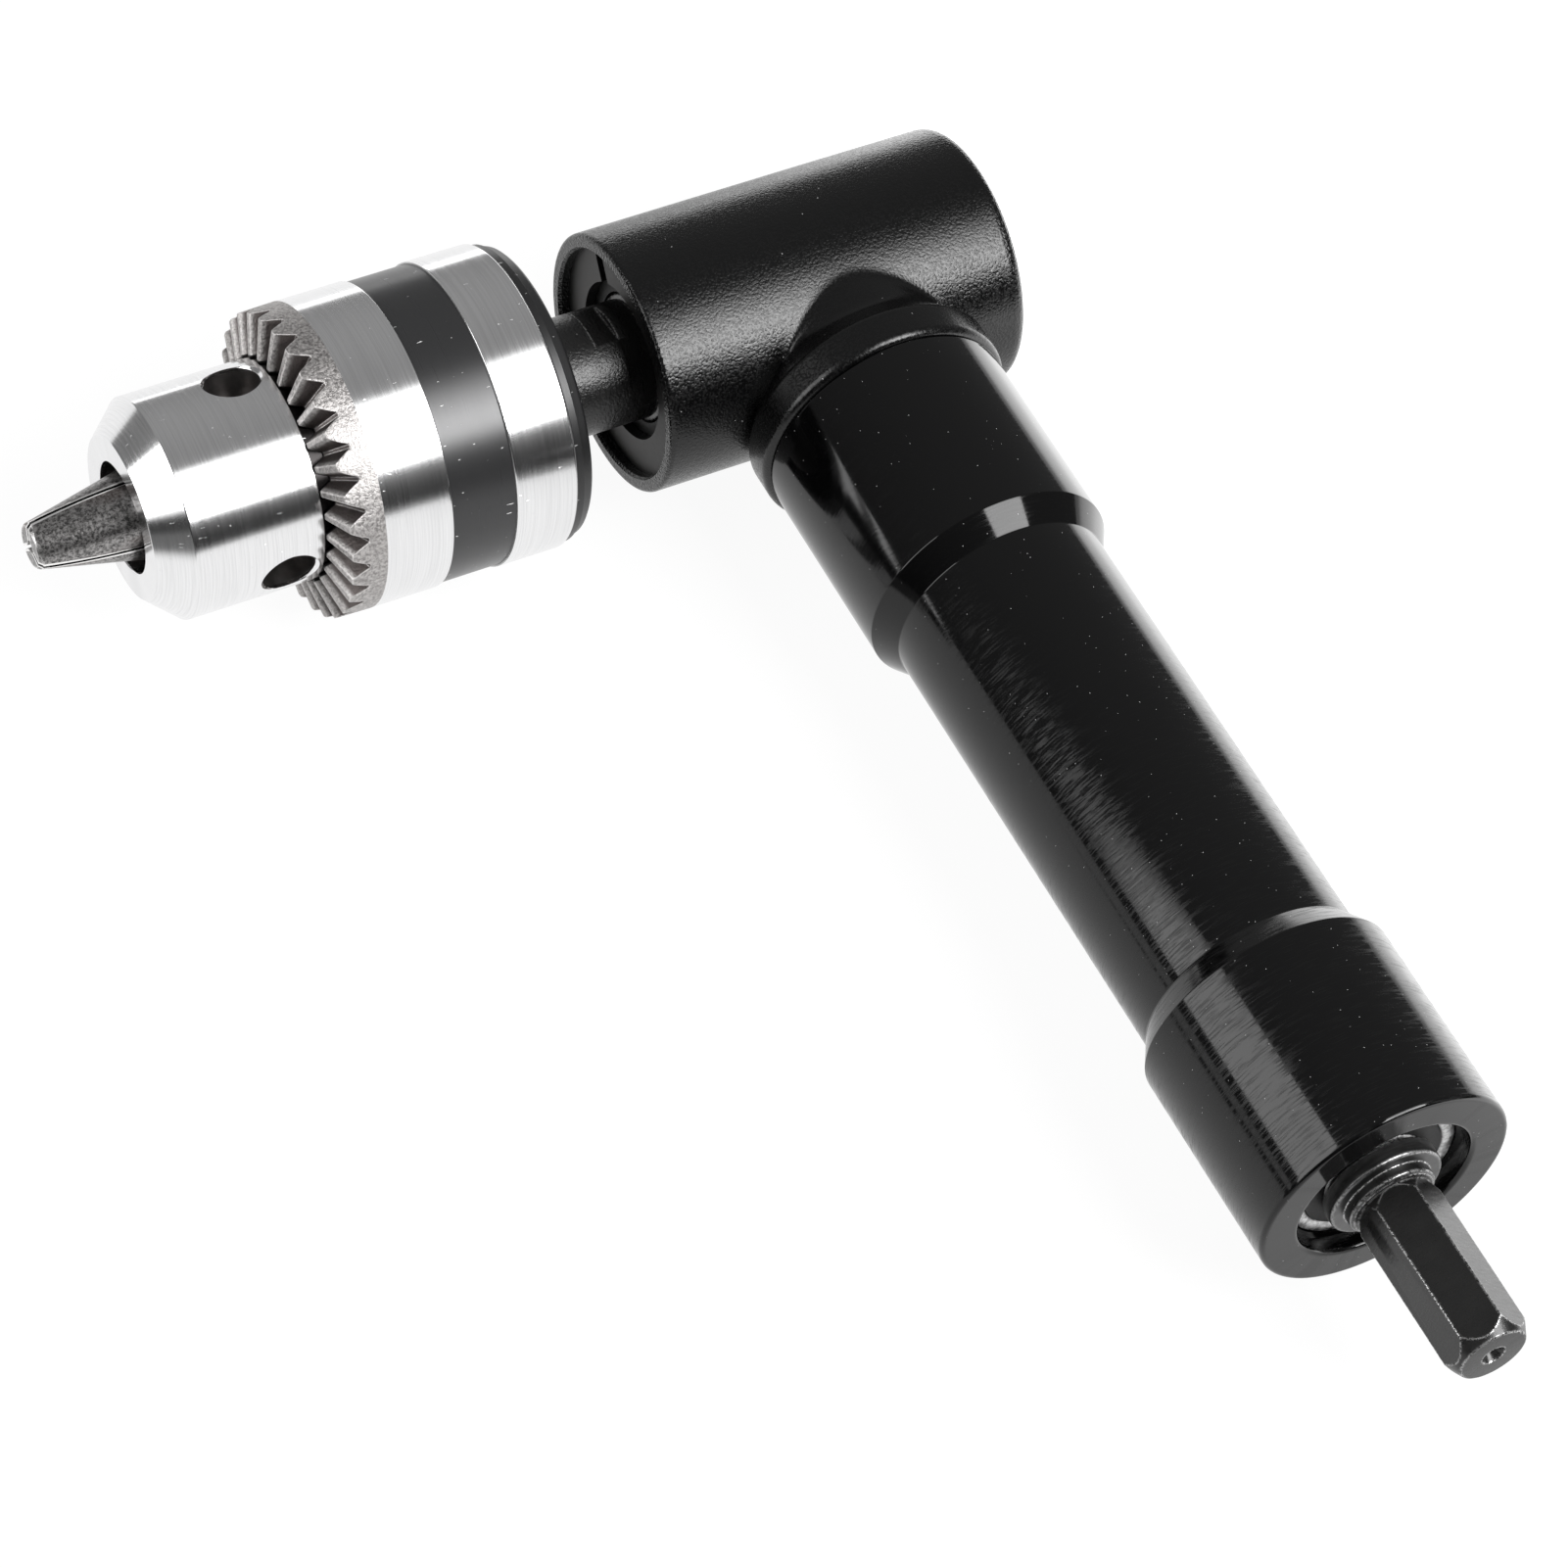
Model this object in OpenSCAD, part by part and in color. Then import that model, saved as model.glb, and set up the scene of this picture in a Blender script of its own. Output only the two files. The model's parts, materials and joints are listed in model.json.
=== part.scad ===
// Right-angle drill attachment: a hexagonal shank drives a keyed three-jaw
// chuck at a right angle through a pair of bevel gears.
// Both axes lie level. The spindle runs along X, the input shaft along Y.
// Origin: centre of the end face of the hexagonal shank.

/* [Gears] */
// Pitch diameter of the spindle's gear at its large end
gear_pitch_d = 20; // [19:0.2:21]
// Teeth on the spindle's bevel gear
gear_teeth = 20; // [20:1:22]
// Teeth on the input pinion
pinion_teeth = 20; // [20:1:22]
// Pressure angle of the teeth in degrees
pressure_angle = 20; // [18:1:22]
// Length of the teeth along the pitch cone
gear_face = 4.2; // [3.6:0.1:4.6]
// Gap between meshing flanks along the pitch circle
flank_gap = 0.16; // [0.1:0.02:0.3]
// Diameter of the hub behind each gear
gear_hub_d = 12.6; // [12:0.2:13.4]
// Length of the hub behind the spindle's gear
gear_hub_l = 2.1; // [1.6:0.1:3]
// Length of the hub behind the pinion
pinion_hub_l = 3.4; // [2.8:0.1:4.4]

/* [Bearings] */
// Bore of the front spindle bearing
front_bore_d = 10; // [9.6:0.1:10.4]
// Outer diameter of the front spindle bearing
front_od = 26; // [25.6:0.1:27]
// Width of the front spindle bearing
front_w = 8; // [7.5:0.1:9]
// Bore of the bearings on the input shaft and behind the gears
small_bore_d = 8; // [7.8:0.1:8.2]
// Outer diameter of the two handle bearings
handle_od = 19; // [18.8:0.1:19.4]
// Width of the two handle bearings
handle_w = 6; // [5.6:0.1:6.6]
// Outer diameter of the rear spindle bearing
rear_od = 16; // [15.8:0.1:17]
// Width of the rear spindle bearing
rear_w = 5; // [4.6:0.1:5.6]
// Diameter of the front spindle bearing's balls
front_ball_d = 4.64; // [4.5:0.02:4.8]
// Diameter of the balls in the two handle bearings
handle_ball_d = 3.19; // [3.1:0.01:3.3]
// Diameter of the rear spindle bearing's balls
rear_ball_d = 2.32; // [2.24:0.02:2.4]

/* [Head] */
// Wall of the head around the front bearing
head_wall = 1.4; // [1.2:0.05:2.2]
// Depth of the bore in front of the retaining ring
head_mouth = 1.3; // [1:0.1:2.5]
// Thickness of the closed rear wall
head_back_wall = 3.4; // [2.6:0.1:5]
// Rounding of the rear edge
head_back_round = 1.6; // [0.8:0.1:2.4]
// Rounding of the rim round the front opening
head_rim_round = 0.5; // [0.3:0.05:0.6]
// Wall of the neck that joins the head and the handle
neck_wall = 1.55; // [1.4:0.05:2.2]
// Width of the ring at the end of the neck
ring_w = 4.1; // [3.4:0.1:4.6]
// Length of the flare from the neck to the ring
flare_l = 3; // [2:0.1:3.4]
// Wall of the ring round the handle's spigot
ring_wall = 2.45; // [2.1:0.05:2.8]
// Rounding of the ring's outer edge
ring_round = 0.9; // [0.4:0.1:1.2]

/* [Handle] */
// Wall of the handle's spigot round its bearing
spigot_wall = 2.8; // [2.4:0.05:3.2]
// Length of the spigot inside the ring
spigot_l = 5; // [4.6:0.1:6]
// Diameter of the thick section next to the head
grip_d = 28.3; // [27.1:0.1:28.8]
// Length of the thick section next to the head
grip_l = 23.7; // [18:0.1:30]
// Diameter of the long middle section
tube_d = 24.8; // [23.5:0.1:26]
// Length of the long middle section
tube_l = 54.2; // [35:0.1:80]
// Diameter of the collar at the shank end
collar_d = 28.5; // [27:0.1:30]
// Length of the collar at the shank end
collar_l = 23.8; // [18:0.1:32]
// Length of the bevel next to the thick section
grip_bevel_l = 2.9; // [1.5:0.1:4]
// Length of the bevel next to the collar
collar_bevel_l = 3.1; // [1.5:0.1:4]
// Bore of the tube between its bearings
tube_bore_d = 16; // [14.6:0.1:17.2]
// Bore of the collar's mouth
mouth_d = 19.8; // [19.6:0.1:21]
// Depth of the collar's mouth in front of the bearing
mouth_depth = 2.3; // [1.6:0.1:4]

/* [Spindle] */
// Diameter of the spindle between the head and the chuck
spindle_d = 13.5; // [12.8:0.1:14]
// Diameter of the spindle's seat for the gear
gear_seat_d = 9; // [8.8:0.1:9.2]
// Thread diameter of the chuck
thread_d = 9.52; // [9.2:0.01:9.8]
// Length of the thread inside the chuck
thread_l = 12.5; // [10:0.1:14]
// Distance across the spanner flats
flat_af = 12; // [11.2:0.1:12.4]
// Width of the spanner flats along the spindle
flat_w = 2.8; // [2:0.1:5]
// Turn of the spanner flats from the handle side upwards in degrees
flat_turn = 100; // [0:1:179]
// Gap between the head and the chuck
chuck_gap = 10.2; // [8:0.1:14]

/* [Chuck] */
// Outer diameter of the sleeve
sleeve_d = 34.4; // [34:0.1:36]
// Length of the sleeve
sleeve_l = 29.6; // [29:0.1:32]
// Length of the sleeve's matte toothed end
sleeve_ring_l = 5; // [4.8:0.1:5.4]
// Length of the dark rim at the sleeve's rear edge
sleeve_rim_l = 2.4; // [1.6:0.1:3.4]
// Width of the recessed band
band_w = 7.5; // [5:0.1:9]
// Distance from the sleeve's rear edge to the band
band_at = 9.4; // [6:0.1:11]
// Depth of the recessed band
band_depth = 0.25; // [0.1:0.05:0.4]
// Teeth on the sleeve's key ring
ring_teeth = 30; // [27:1:32]
// Turn of the key ring's first tooth gap from the handle side upwards in degrees
ring_turn = 5; // [0:1:12]
// Height of the key ring's teeth at the outside
ring_tooth_h = 2.1; // [1.7:0.1:2.3]
// Height of the key ring's teeth at the bore
ring_bore_tooth_h = 1.4; // [1.2:0.1:1.6]
// How far the toothed front slopes forward towards the bore
ring_front_rise = 1; // [0.6:0.1:1.3]
// Diameter of the chuck body in front of the sleeve
body_d = 24.8; // [24:0.1:25.6]
// Length of the chuck body in front of the sleeve
nose_l = 18.1; // [16:0.1:22]
// Length of the cone on the nose
nose_cone_l = 3.5; // [2:0.1:4.5]
// Diameter of the flat nose face
nose_face_d = 18.3; // [17:0.1:20]
// Diameter of the hole in the nose
nose_hole_d = 12.4; // [12:0.1:13.4]
// Depth of the hole in the nose
nose_hole_l = 8; // [5:0.1:10]
// Diameter of the holes for the key's pilot
key_hole_d = 6; // [5:0.1:6.4]
// Depth of the holes for the key's pilot
key_hole_l = 4; // [3:0.1:4.2]
// Distance from the sleeve to the middle of the key holes
key_hole_at = 3.9; // [3.8:0.1:5]

/* [Jaws] */
// Diameter of each jaw
jaw_d = 7; // [6.6:0.1:7.2]
// Length of each jaw along its own axis
jaw_l = 36.5; // [35.5:0.1:37.5]
// How far the closed jaws stand out of the nose
jaw_out = 10.4; // [9:0.1:11]
// Width of the closed jaws' tip
jaw_tip_d = 4.6; // [4.2:0.1:5]
// Turn of the first jaw from the handle side upwards in degrees
jaw_turn = 50; // [0:1:119]
// Slit between neighbouring closed jaws
jaw_slit = 0.1; // [0.06:0.02:0.3]
// Thickness of the split nut where it clasps the jaws
nut_wall = 3.93; // [3.8:0.01:4.4]

/* [Input shaft] */
// Distance across the flats of the shank
hex_af = 8; // [7.5:0.1:9]
// Length of the shank
hex_l = 19.3; // [15:0.1:30]
// Turn of the shank's corners at rest in degrees
hex_turn = 50; // [0:1:59]
// Diameter of the shoulder in front of the bearing
disc_d = 12.8; // [11.6:0.1:14]
// Width of the shoulder
disc_w = 2; // [1.4:0.1:3]
// Diameter of the pinion's seat on the shaft
pinion_seat_d = 7; // [6.6:0.1:7.2]

/* [Hidden] */

$fn = 96;

// Clearances
run_gap = 0.06;
press_gap = 0.02;
gear_room = 0.3;
cavity_room = 0.9;
end_room = 0.2;
over = 0.5;

// Steel furniture: small sizes that belong to one piece each
edge = 0.3;
ring_t = 1.2;
ring_groove = 0.6;
ring_side_w = 4.6;
ring_gap_w = 1.7;
ring_gap_turn = 128;
clip_t = 0.8;
clip_rim = 1.6;
clip_groove = 0.3;
clip_gap_w = 3;
seal_t = 0.5;
seal_recess = 0.12;
gear_web = 0.5;
gear_key_w = 2.5;
gear_key_in = 1.5;
gear_key_out = 1;
gear_key_l = 4.5;
pinion_key_w = 2;
pinion_key_in = 1.1;
pinion_key_out = 0.9;
pinion_key_l = 5;
balls_front = 7;
balls_handle = 7;
balls_rear = 9;

// Bevel gears: pitch cones meet where the two axes cross
gear_module = gear_pitch_d / gear_teeth;
gear_pitch_r = gear_pitch_d / 2;
pinion_pitch_r = gear_module * pinion_teeth / 2;
gear_cone = atan(gear_teeth / pinion_teeth);
pinion_cone = 90 - gear_cone;
cone_dist = sqrt(pow(gear_pitch_r, 2) + pow(pinion_pitch_r, 2));
toe_share = (cone_dist - gear_face) / cone_dist;
root_share = 1.25;
blank_share = 1.3;
tooth_root = root_share * gear_module;
flank_steps = 5;

gear_tip_r = gear_pitch_r + gear_module * cos(gear_cone);
pinion_tip_r = pinion_pitch_r + gear_module * cos(pinion_cone);
gear_root_at = pinion_pitch_r + tooth_root * sin(gear_cone);
pinion_root_at = gear_pitch_r + tooth_root * sin(pinion_cone);
gear_back = gear_root_at + gear_web;
pinion_back = pinion_root_at + gear_web;
gear_toe = toe_share * gear_root_at;
pinion_toe = toe_share * pinion_root_at;

// Places along the spindle, from the crossing of the axes
front_bearing_at = gear_back + gear_hub_l;
front_bearing_end = front_bearing_at + front_w;
ring_at = front_bearing_end;
head_front = ring_at + ring_t + head_mouth;
rear_bearing_end = -(pinion_tip_r + cavity_room);
rear_bearing_at = rear_bearing_end - rear_w;
head_back = rear_bearing_at - end_room - head_back_wall;
sleeve_at = head_front + chuck_gap;
body_recess = 0.4;
body_at = sleeve_at + body_recess;
sleeve_end = sleeve_at + sleeve_l;
nose_at = sleeve_end + nose_l;
jaw_tip_at = nose_at + jaw_out;

// Places along the input shaft, from the crossing of the axes
pinion_bearing_at = pinion_back + pinion_hub_l;
pinion_bearing_end = pinion_bearing_at + handle_w;
spigot_at = pinion_bearing_at - end_room;
shoulder_at = spigot_at + spigot_l;
grip_end = shoulder_at + grip_l;
tube_at = grip_end + grip_bevel_l;
tube_end = tube_at + tube_l;
collar_at = tube_end + collar_bevel_l;
collar_end = collar_at + collar_l;
collar_bearing_end = collar_end - mouth_depth;
collar_bearing_at = collar_bearing_end - handle_w;
disc_at = collar_bearing_end + 2 * edge;
disc_end = disc_at + disc_w;
hex_at = disc_end + 4.5 * edge;
hex_end = hex_at + hex_l;

// Radii that follow from what goes inside
front_seat_r = front_od / 2;
head_r = front_seat_r + head_wall;
ring_groove_r = front_seat_r + ring_groove;
cavity_r = max(gear_tip_r + cavity_room, rear_od / 2 + cavity_room);
neck_bore_r = pinion_tip_r + gear_room;
neck_r = neck_bore_r + neck_wall;
spigot_r = handle_od / 2 + spigot_wall;
branch_ring_r = spigot_r + ring_wall;
flare_end = shoulder_at - ring_w;
flare_at = flare_end - flare_l;

// Chuck: the jaws slide in sloping bores and a split nut drives them
sleeve_r = sleeve_d / 2;
body_r = body_d / 2;
jaw_r = jaw_d / 2;
jaw_tip_r = jaw_tip_d / 2;
jaw_land = 0.4;
tip_round = 0.35;
jaw_bore_r = jaw_r + run_gap;
jaw_rho = jaw_tip_r - jaw_r;
jaw_reach = jaw_tip_at - sleeve_at;
sleeve_wall = 1.7;
sleeve_bore_r = sleeve_r - sleeve_wall;
sleeve_mouth_r = body_r + run_gap;
flange_r = sleeve_bore_r - run_gap;
front_web = 0.3;
nut_step = 0.1;
nut_end = sleeve_end - sleeve_ring_l + front_web;
nut_w = 5.4;
nut_at = nut_end - nut_w;
nut_clear = 0.12;
nut_split = 0.3;
jaw_angle = atan((sleeve_bore_r - nut_wall - jaw_tip_r) / (jaw_tip_at - nut_at));
neck_under_nut_r = 9.8;
bit_bore_r = 5.4;
key_turn = jaw_turn + 60;
key_chamfer = 0.35;
tooth_floor_w = 0.5;
tooth_flank = 33;
ring_taper = 0.1;
tooth_clear_h = 5;

// Distance from the chuck's axis to the outer side of a jaw
function jaw_outside(x) = jaw_tip_r + (jaw_tip_at - x) * tan(jaw_angle);

function arc(cx, cy, r, a0, a1, n) =
    [for (i = [0:n]) let (a = a0 + (a1 - a0) * i / n) [cx + r * cos(a), cy + r * sin(a)]];

// Local z runs along the spindle and local x points towards the handle
module about_x() { translate([0, -hex_end, 0]) rotate([90, 0, 90]) children(); }

// Local z runs along the input shaft and local x points up
module about_y() { translate([0, -hex_end, 0]) rotate([0, -90, -90]) children(); }

module tube(from, to, r_out, r_in) {
    translate([0, 0, from]) difference() {
        cylinder(h = to - from, r = r_out);
        translate([0, 0, -over]) cylinder(h = to - from + 2 * over, r = r_in);
    }
}

module bore(from, to, r) { translate([0, 0, from]) cylinder(h = to - from, r = r); }

// Bearing rings: a groove for the balls and small edge chamfers
module race(r_in, r_out, w, pitch_r, ball_r) {
    rotate_extrude() difference() {
        polygon([[r_in + edge, 0], [r_out - edge, 0], [r_out, edge], [r_out, w - edge],
            [r_out - edge, w], [r_in + edge, w], [r_in, w - edge], [r_in, edge]]);
        translate([pitch_r, w / 2]) circle(r = ball_r + run_gap);
    }
}

function bearing_pitch_r(od, bore_d) = (od + bore_d) / 4;
land_share = 0.7;

module bearing_outer(at, od, bore_d, w, ball_d) {
    pitch_r = bearing_pitch_r(od, bore_d);
    translate([0, 0, at])
        race(pitch_r + land_share * ball_d / 2, od / 2 - press_gap, w, pitch_r, ball_d / 2);
}

module bearing_inner(at, od, bore_d, w, ball_d) {
    pitch_r = bearing_pitch_r(od, bore_d);
    translate([0, 0, at])
        race(bore_d / 2 + press_gap, pitch_r - land_share * ball_d / 2, w, pitch_r, ball_d / 2);
}

module bearing_balls(at, od, bore_d, w, ball_d, count) {
    for (i = [0:count - 1])
        rotate([0, 0, 360 * i / count])
            translate([bearing_pitch_r(od, bore_d), 0, at + w / 2]) sphere(r = ball_d / 2);
}

// Crown cage: a ring with a pocket for each ball, open on one side
cage_front_share = 0.3;
cage_back_share = 0.66;
cage_thick_share = 0.24;

module bearing_cage(at, od, bore_d, w, ball_d, count) {
    pitch_r = bearing_pitch_r(od, bore_d);
    middle = at + w / 2;
    difference() {
        tube(middle - cage_front_share * ball_d, middle + cage_back_share * ball_d,
            pitch_r + cage_thick_share * ball_d, pitch_r - cage_thick_share * ball_d);
        for (i = [0:count - 1])
            rotate([0, 0, 360 * i / count])
                translate([pitch_r, 0, middle]) sphere(r = ball_d / 2 + 2 * run_gap);
    }
}

module bearing_seals(at, od, bore_d, w, ball_d) {
    pitch_r = bearing_pitch_r(od, bore_d);
    half_gap = land_share * ball_d / 2;
    for (z = [at + seal_recess, at + w - seal_recess - seal_t])
        tube(z, z + seal_t, pitch_r + half_gap - press_gap, pitch_r - half_gap + 2 * run_gap);
}

// Open spring ring whose gap points along local x
module open_ring(from, t, r_out, r_in, gap_w) {
    difference() {
        tube(from, from + t, r_out, r_in);
        translate([0, -gap_w / 2, from - over]) cube([r_out + over, gap_w, t + 2 * over]);
    }
}

// Bevel tooth flanks are spherical involutes, seen from the crossing of the axes
function base_cone(pitch_cone) = asin(cos(pressure_angle) * sin(pitch_cone));

function involute_turn(polar, base) =
    let (phi = acos(min(1, cos(polar) / cos(base))), theta = phi / sin(base))
    atan2(cos(phi) * sin(base) * sin(theta) - sin(phi) * cos(theta),
        cos(phi) * sin(base) * cos(theta) + sin(phi) * sin(theta));

function half_tooth(polar, pitch_cone, teeth, pitch_r) =
    let (base = base_cone(pitch_cone))
    90 / teeth - flank_gap / 4 / pitch_r * 180 / PI
        + involute_turn(pitch_cone, base) - involute_turn(max(polar, base), base);

// One gear outline on the plane that lies plane_at from the crossing
function gear_outline(plane_at, pitch_cone, teeth, pitch_r) =
    let (tip = pitch_cone + atan(gear_module / cone_dist),
        root = pitch_cone - atan(tooth_root / cone_dist),
        foot = max(base_cone(pitch_cone), root),
        polars = concat([root],
            [for (i = [0:flank_steps - 1]) foot + (tip - foot) * i / (flank_steps - 1)]),
        last = len(polars) - 1)
    [for (k = [0:teeth - 1], side = [-1, 1], i = [0:last])
        let (polar = side < 0 ? polars[i] : polars[last - i],
            turn = 360 * k / teeth + side * half_tooth(polar, pitch_cone, teeth, pitch_r),
            r = plane_at * tan(polar))
        [r * cos(turn), r * sin(turn)]];

// The blank's back and toe cones stand square to the pitch cone
module gear_blank(pitch_cone, pitch_r, pitch_at, root_at, back) {
    out = blank_share * gear_module;
    root_r = pitch_r - tooth_root * cos(pitch_cone);
    rotate_extrude() polygon([
        [0, toe_share * root_at],
        [toe_share * root_r, toe_share * root_at],
        [toe_share * (pitch_r + out * cos(pitch_cone)),
            toe_share * (pitch_at - out * sin(pitch_cone))],
        [pitch_r + out * cos(pitch_cone), pitch_at - out * sin(pitch_cone)],
        [pitch_r - (back - pitch_at) / tan(pitch_cone), back],
        [0, back]]);
}

module bevel_gear(pitch_cone, teeth, pitch_r, pitch_at, root_at, back, hub_end,
        bore_r, key_w, key_out, tooth_turn = 0) {
    depth = back - toe_share * (pitch_at - gear_module);
    difference() {
        union() {
            intersection() {
                translate([0, 0, back]) rotate([0, 0, tooth_turn]) mirror([0, 0, 1])
                    linear_extrude(height = depth, scale = (back - depth) / back)
                        polygon(gear_outline(back, pitch_cone, teeth, pitch_r));
                gear_blank(pitch_cone, pitch_r, pitch_at, root_at, back);
            }
            bore(back - gear_web, hub_end, gear_hub_d / 2);
        }
        bore(0, hub_end + over, bore_r + press_gap);
        translate([0, -key_w / 2 - press_gap, 0])
            cube([bore_r + key_out + press_gap, key_w + 2 * press_gap, hub_end + over]);
    }
}

// Head: a cast cylinder closed at the rear, with a neck that carries the handle
module head_outside() {
    rotate_extrude() polygon(concat(
        [[0, head_back]],
        arc(head_r - head_back_round, head_back + head_back_round, head_back_round, -90, 0, 6),
        arc(head_r - head_rim_round, head_front - head_rim_round, head_rim_round, 0, 90, 4),
        [[0, head_front]]));
}

module neck_outside() {
    rotate_extrude() polygon(concat(
        [[0, 0], [neck_r, 0], [neck_r, flare_at], [branch_ring_r, flare_end]],
        arc(branch_ring_r - ring_round, shoulder_at - ring_round, ring_round, 0, 90, 6),
        [[0, shoulder_at]]));
}

module head_housing() color([0.07, 0.07, 0.075]) {
    difference() {
        union() {
            about_x() head_outside();
            about_y() neck_outside();
        }
        about_x() {
            bore(rear_bearing_at - end_room, rear_bearing_end + over, rear_od / 2);
            bore(rear_bearing_end, front_bearing_at + over, cavity_r);
            bore(front_bearing_at, head_front + over, front_seat_r);
            bore(ring_at, ring_at + ring_t + press_gap, ring_groove_r);
        }
        about_y() {
            bore(0, spigot_at + over, neck_bore_r);
            bore(spigot_at, shoulder_at + over, spigot_r + press_gap);
        }
    }
}

// Handle: one turned tube with a spigot, a thick section, a waist and a collar
module handle_tube() color([0.08, 0.08, 0.085]) about_y() {
    grip_r = grip_d / 2;
    tube_r = tube_d / 2;
    collar_r = collar_d / 2;
    mouth_r = mouth_d / 2;
    lip = 1.5 * edge;
    seat_r = handle_od / 2;
    bore_r = tube_bore_d / 2;
    rotate_extrude() polygon(concat(
        [[seat_r, spigot_at], [spigot_r - edge, spigot_at], [spigot_r, spigot_at + edge],
            [spigot_r, shoulder_at], [grip_r - edge, shoulder_at], [grip_r, shoulder_at + edge],
            [grip_r, grip_end], [tube_r, tube_at], [tube_r, tube_end], [collar_r, collar_at]],
        arc(collar_r - lip, collar_end - lip, lip, 0, 90, 4),
        arc(mouth_r + lip, collar_end - lip, lip, 90, 180, 4),
        [[mouth_r, collar_bearing_end], [seat_r, collar_bearing_end],
            [seat_r, collar_bearing_at], [bore_r, collar_bearing_at],
            [bore_r, pinion_bearing_end], [seat_r, pinion_bearing_end]]));
}

module head_retaining_ring() color([0.62, 0.61, 0.6])
    about_x() rotate([0, 0, ring_gap_turn])
        open_ring(ring_at, ring_t, ring_groove_r - press_gap, ring_groove_r - ring_side_w,
            ring_gap_w);

// Front spindle bearing
module front_bearing_outer() color([0.75, 0.75, 0.76])
    about_x() bearing_outer(front_bearing_at, front_od, front_bore_d, front_w, front_ball_d);

module front_bearing_inner() color([0.78, 0.78, 0.79])
    about_x() bearing_inner(front_bearing_at, front_od, front_bore_d, front_w, front_ball_d);

module front_bearing_balls() color([0.85, 0.85, 0.86]) about_x()
    bearing_balls(front_bearing_at, front_od, front_bore_d, front_w, front_ball_d, balls_front);

module front_bearing_cage() color([0.7, 0.55, 0.3]) about_x()
    bearing_cage(front_bearing_at, front_od, front_bore_d, front_w, front_ball_d, balls_front);

module front_bearing_seals() color([0.05, 0.05, 0.05]) about_x()
    bearing_seals(front_bearing_at, front_od, front_bore_d, front_w, front_ball_d);

// Rear spindle bearing
module rear_bearing_outer() color([0.75, 0.75, 0.76])
    about_x() bearing_outer(rear_bearing_at, rear_od, small_bore_d, rear_w, rear_ball_d);

module rear_bearing_inner() color([0.78, 0.78, 0.79])
    about_x() bearing_inner(rear_bearing_at, rear_od, small_bore_d, rear_w, rear_ball_d);

module rear_bearing_balls() color([0.85, 0.85, 0.86]) about_x()
    bearing_balls(rear_bearing_at, rear_od, small_bore_d, rear_w, rear_ball_d, balls_rear);

module rear_bearing_cage() color([0.7, 0.55, 0.3]) about_x()
    bearing_cage(rear_bearing_at, rear_od, small_bore_d, rear_w, rear_ball_d, balls_rear);

// Bearing behind the pinion
module pinion_bearing_outer() color([0.75, 0.75, 0.76])
    about_y() bearing_outer(pinion_bearing_at, handle_od, small_bore_d, handle_w, handle_ball_d);

module pinion_bearing_inner() color([0.78, 0.78, 0.79])
    about_y() bearing_inner(pinion_bearing_at, handle_od, small_bore_d, handle_w, handle_ball_d);

module pinion_bearing_balls() color([0.85, 0.85, 0.86]) about_y()
    bearing_balls(pinion_bearing_at, handle_od, small_bore_d, handle_w, handle_ball_d,
        balls_handle);

module pinion_bearing_cage() color([0.7, 0.55, 0.3]) about_y()
    bearing_cage(pinion_bearing_at, handle_od, small_bore_d, handle_w, handle_ball_d,
        balls_handle);

// Bearing in the collar
module collar_bearing_outer() color([0.75, 0.75, 0.76])
    about_y() bearing_outer(collar_bearing_at, handle_od, small_bore_d, handle_w, handle_ball_d);

module collar_bearing_inner() color([0.78, 0.78, 0.79])
    about_y() bearing_inner(collar_bearing_at, handle_od, small_bore_d, handle_w, handle_ball_d);

module collar_bearing_balls() color([0.85, 0.85, 0.86]) about_y()
    bearing_balls(collar_bearing_at, handle_od, small_bore_d, handle_w, handle_ball_d,
        balls_handle);

module collar_bearing_cage() color([0.7, 0.55, 0.3]) about_y()
    bearing_cage(collar_bearing_at, handle_od, small_bore_d, handle_w, handle_ball_d,
        balls_handle);

module collar_bearing_seals() color([0.05, 0.05, 0.05]) about_y()
    bearing_seals(collar_bearing_at, handle_od, small_bore_d, handle_w, handle_ball_d);

// Spindle: a stepped shaft whose thread holds the chuck
spindle_end = body_at + thread_l;
clip_in_r = gear_seat_d / 2 - clip_groove;
flat_at = head_front + 2 * edge;

module output_spindle() color([0.1, 0.1, 0.1]) about_x() {
    small_r = small_bore_d / 2;
    seat_r = gear_seat_d / 2;
    journal_r = front_bore_d / 2;
    big_r = spindle_d / 2;
    thread_r = thread_d / 2 - press_gap;
    tail = rear_bearing_at + end_room;
    clip_at = gear_toe - clip_t - press_gap;
    difference() {
        rotate_extrude() polygon([
            [0, tail], [small_r - edge, tail], [small_r, tail + edge],
            [small_r, clip_at - 2 * edge], [seat_r, clip_at - edge], [seat_r, clip_at],
            [clip_in_r, clip_at], [clip_in_r, gear_toe], [seat_r, gear_toe],
            [seat_r, front_bearing_at], [journal_r, front_bearing_at],
            [journal_r, front_bearing_end], [big_r, front_bearing_end], [big_r, body_at],
            [thread_r, body_at], [thread_r, spindle_end - 2 * edge],
            [thread_r - 2 * edge, spindle_end], [0, spindle_end]]);
        for (turn = [0, 180])
            rotate([0, 0, flat_turn + turn])
                translate([flat_af / 2, -big_r, flat_at]) cube([big_r, 2 * big_r, flat_w]);
        key_slot(gear_toe, front_bearing_at, seat_r, gear_key_w, gear_key_in, gear_key_l);
    }
}

// Keys lie under the gears, on the side of local x
function key_at(toe, hub_end, key_l) = (toe + hub_end - key_l) / 2;

module key_slot(toe, hub_end, seat_r, key_w, key_in, key_l) {
    translate([seat_r - key_in - press_gap, -key_w / 2 - press_gap,
            key_at(toe, hub_end, key_l) - press_gap])
        cube([key_in + over, key_w + 2 * press_gap, key_l + 2 * press_gap]);
}

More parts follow.
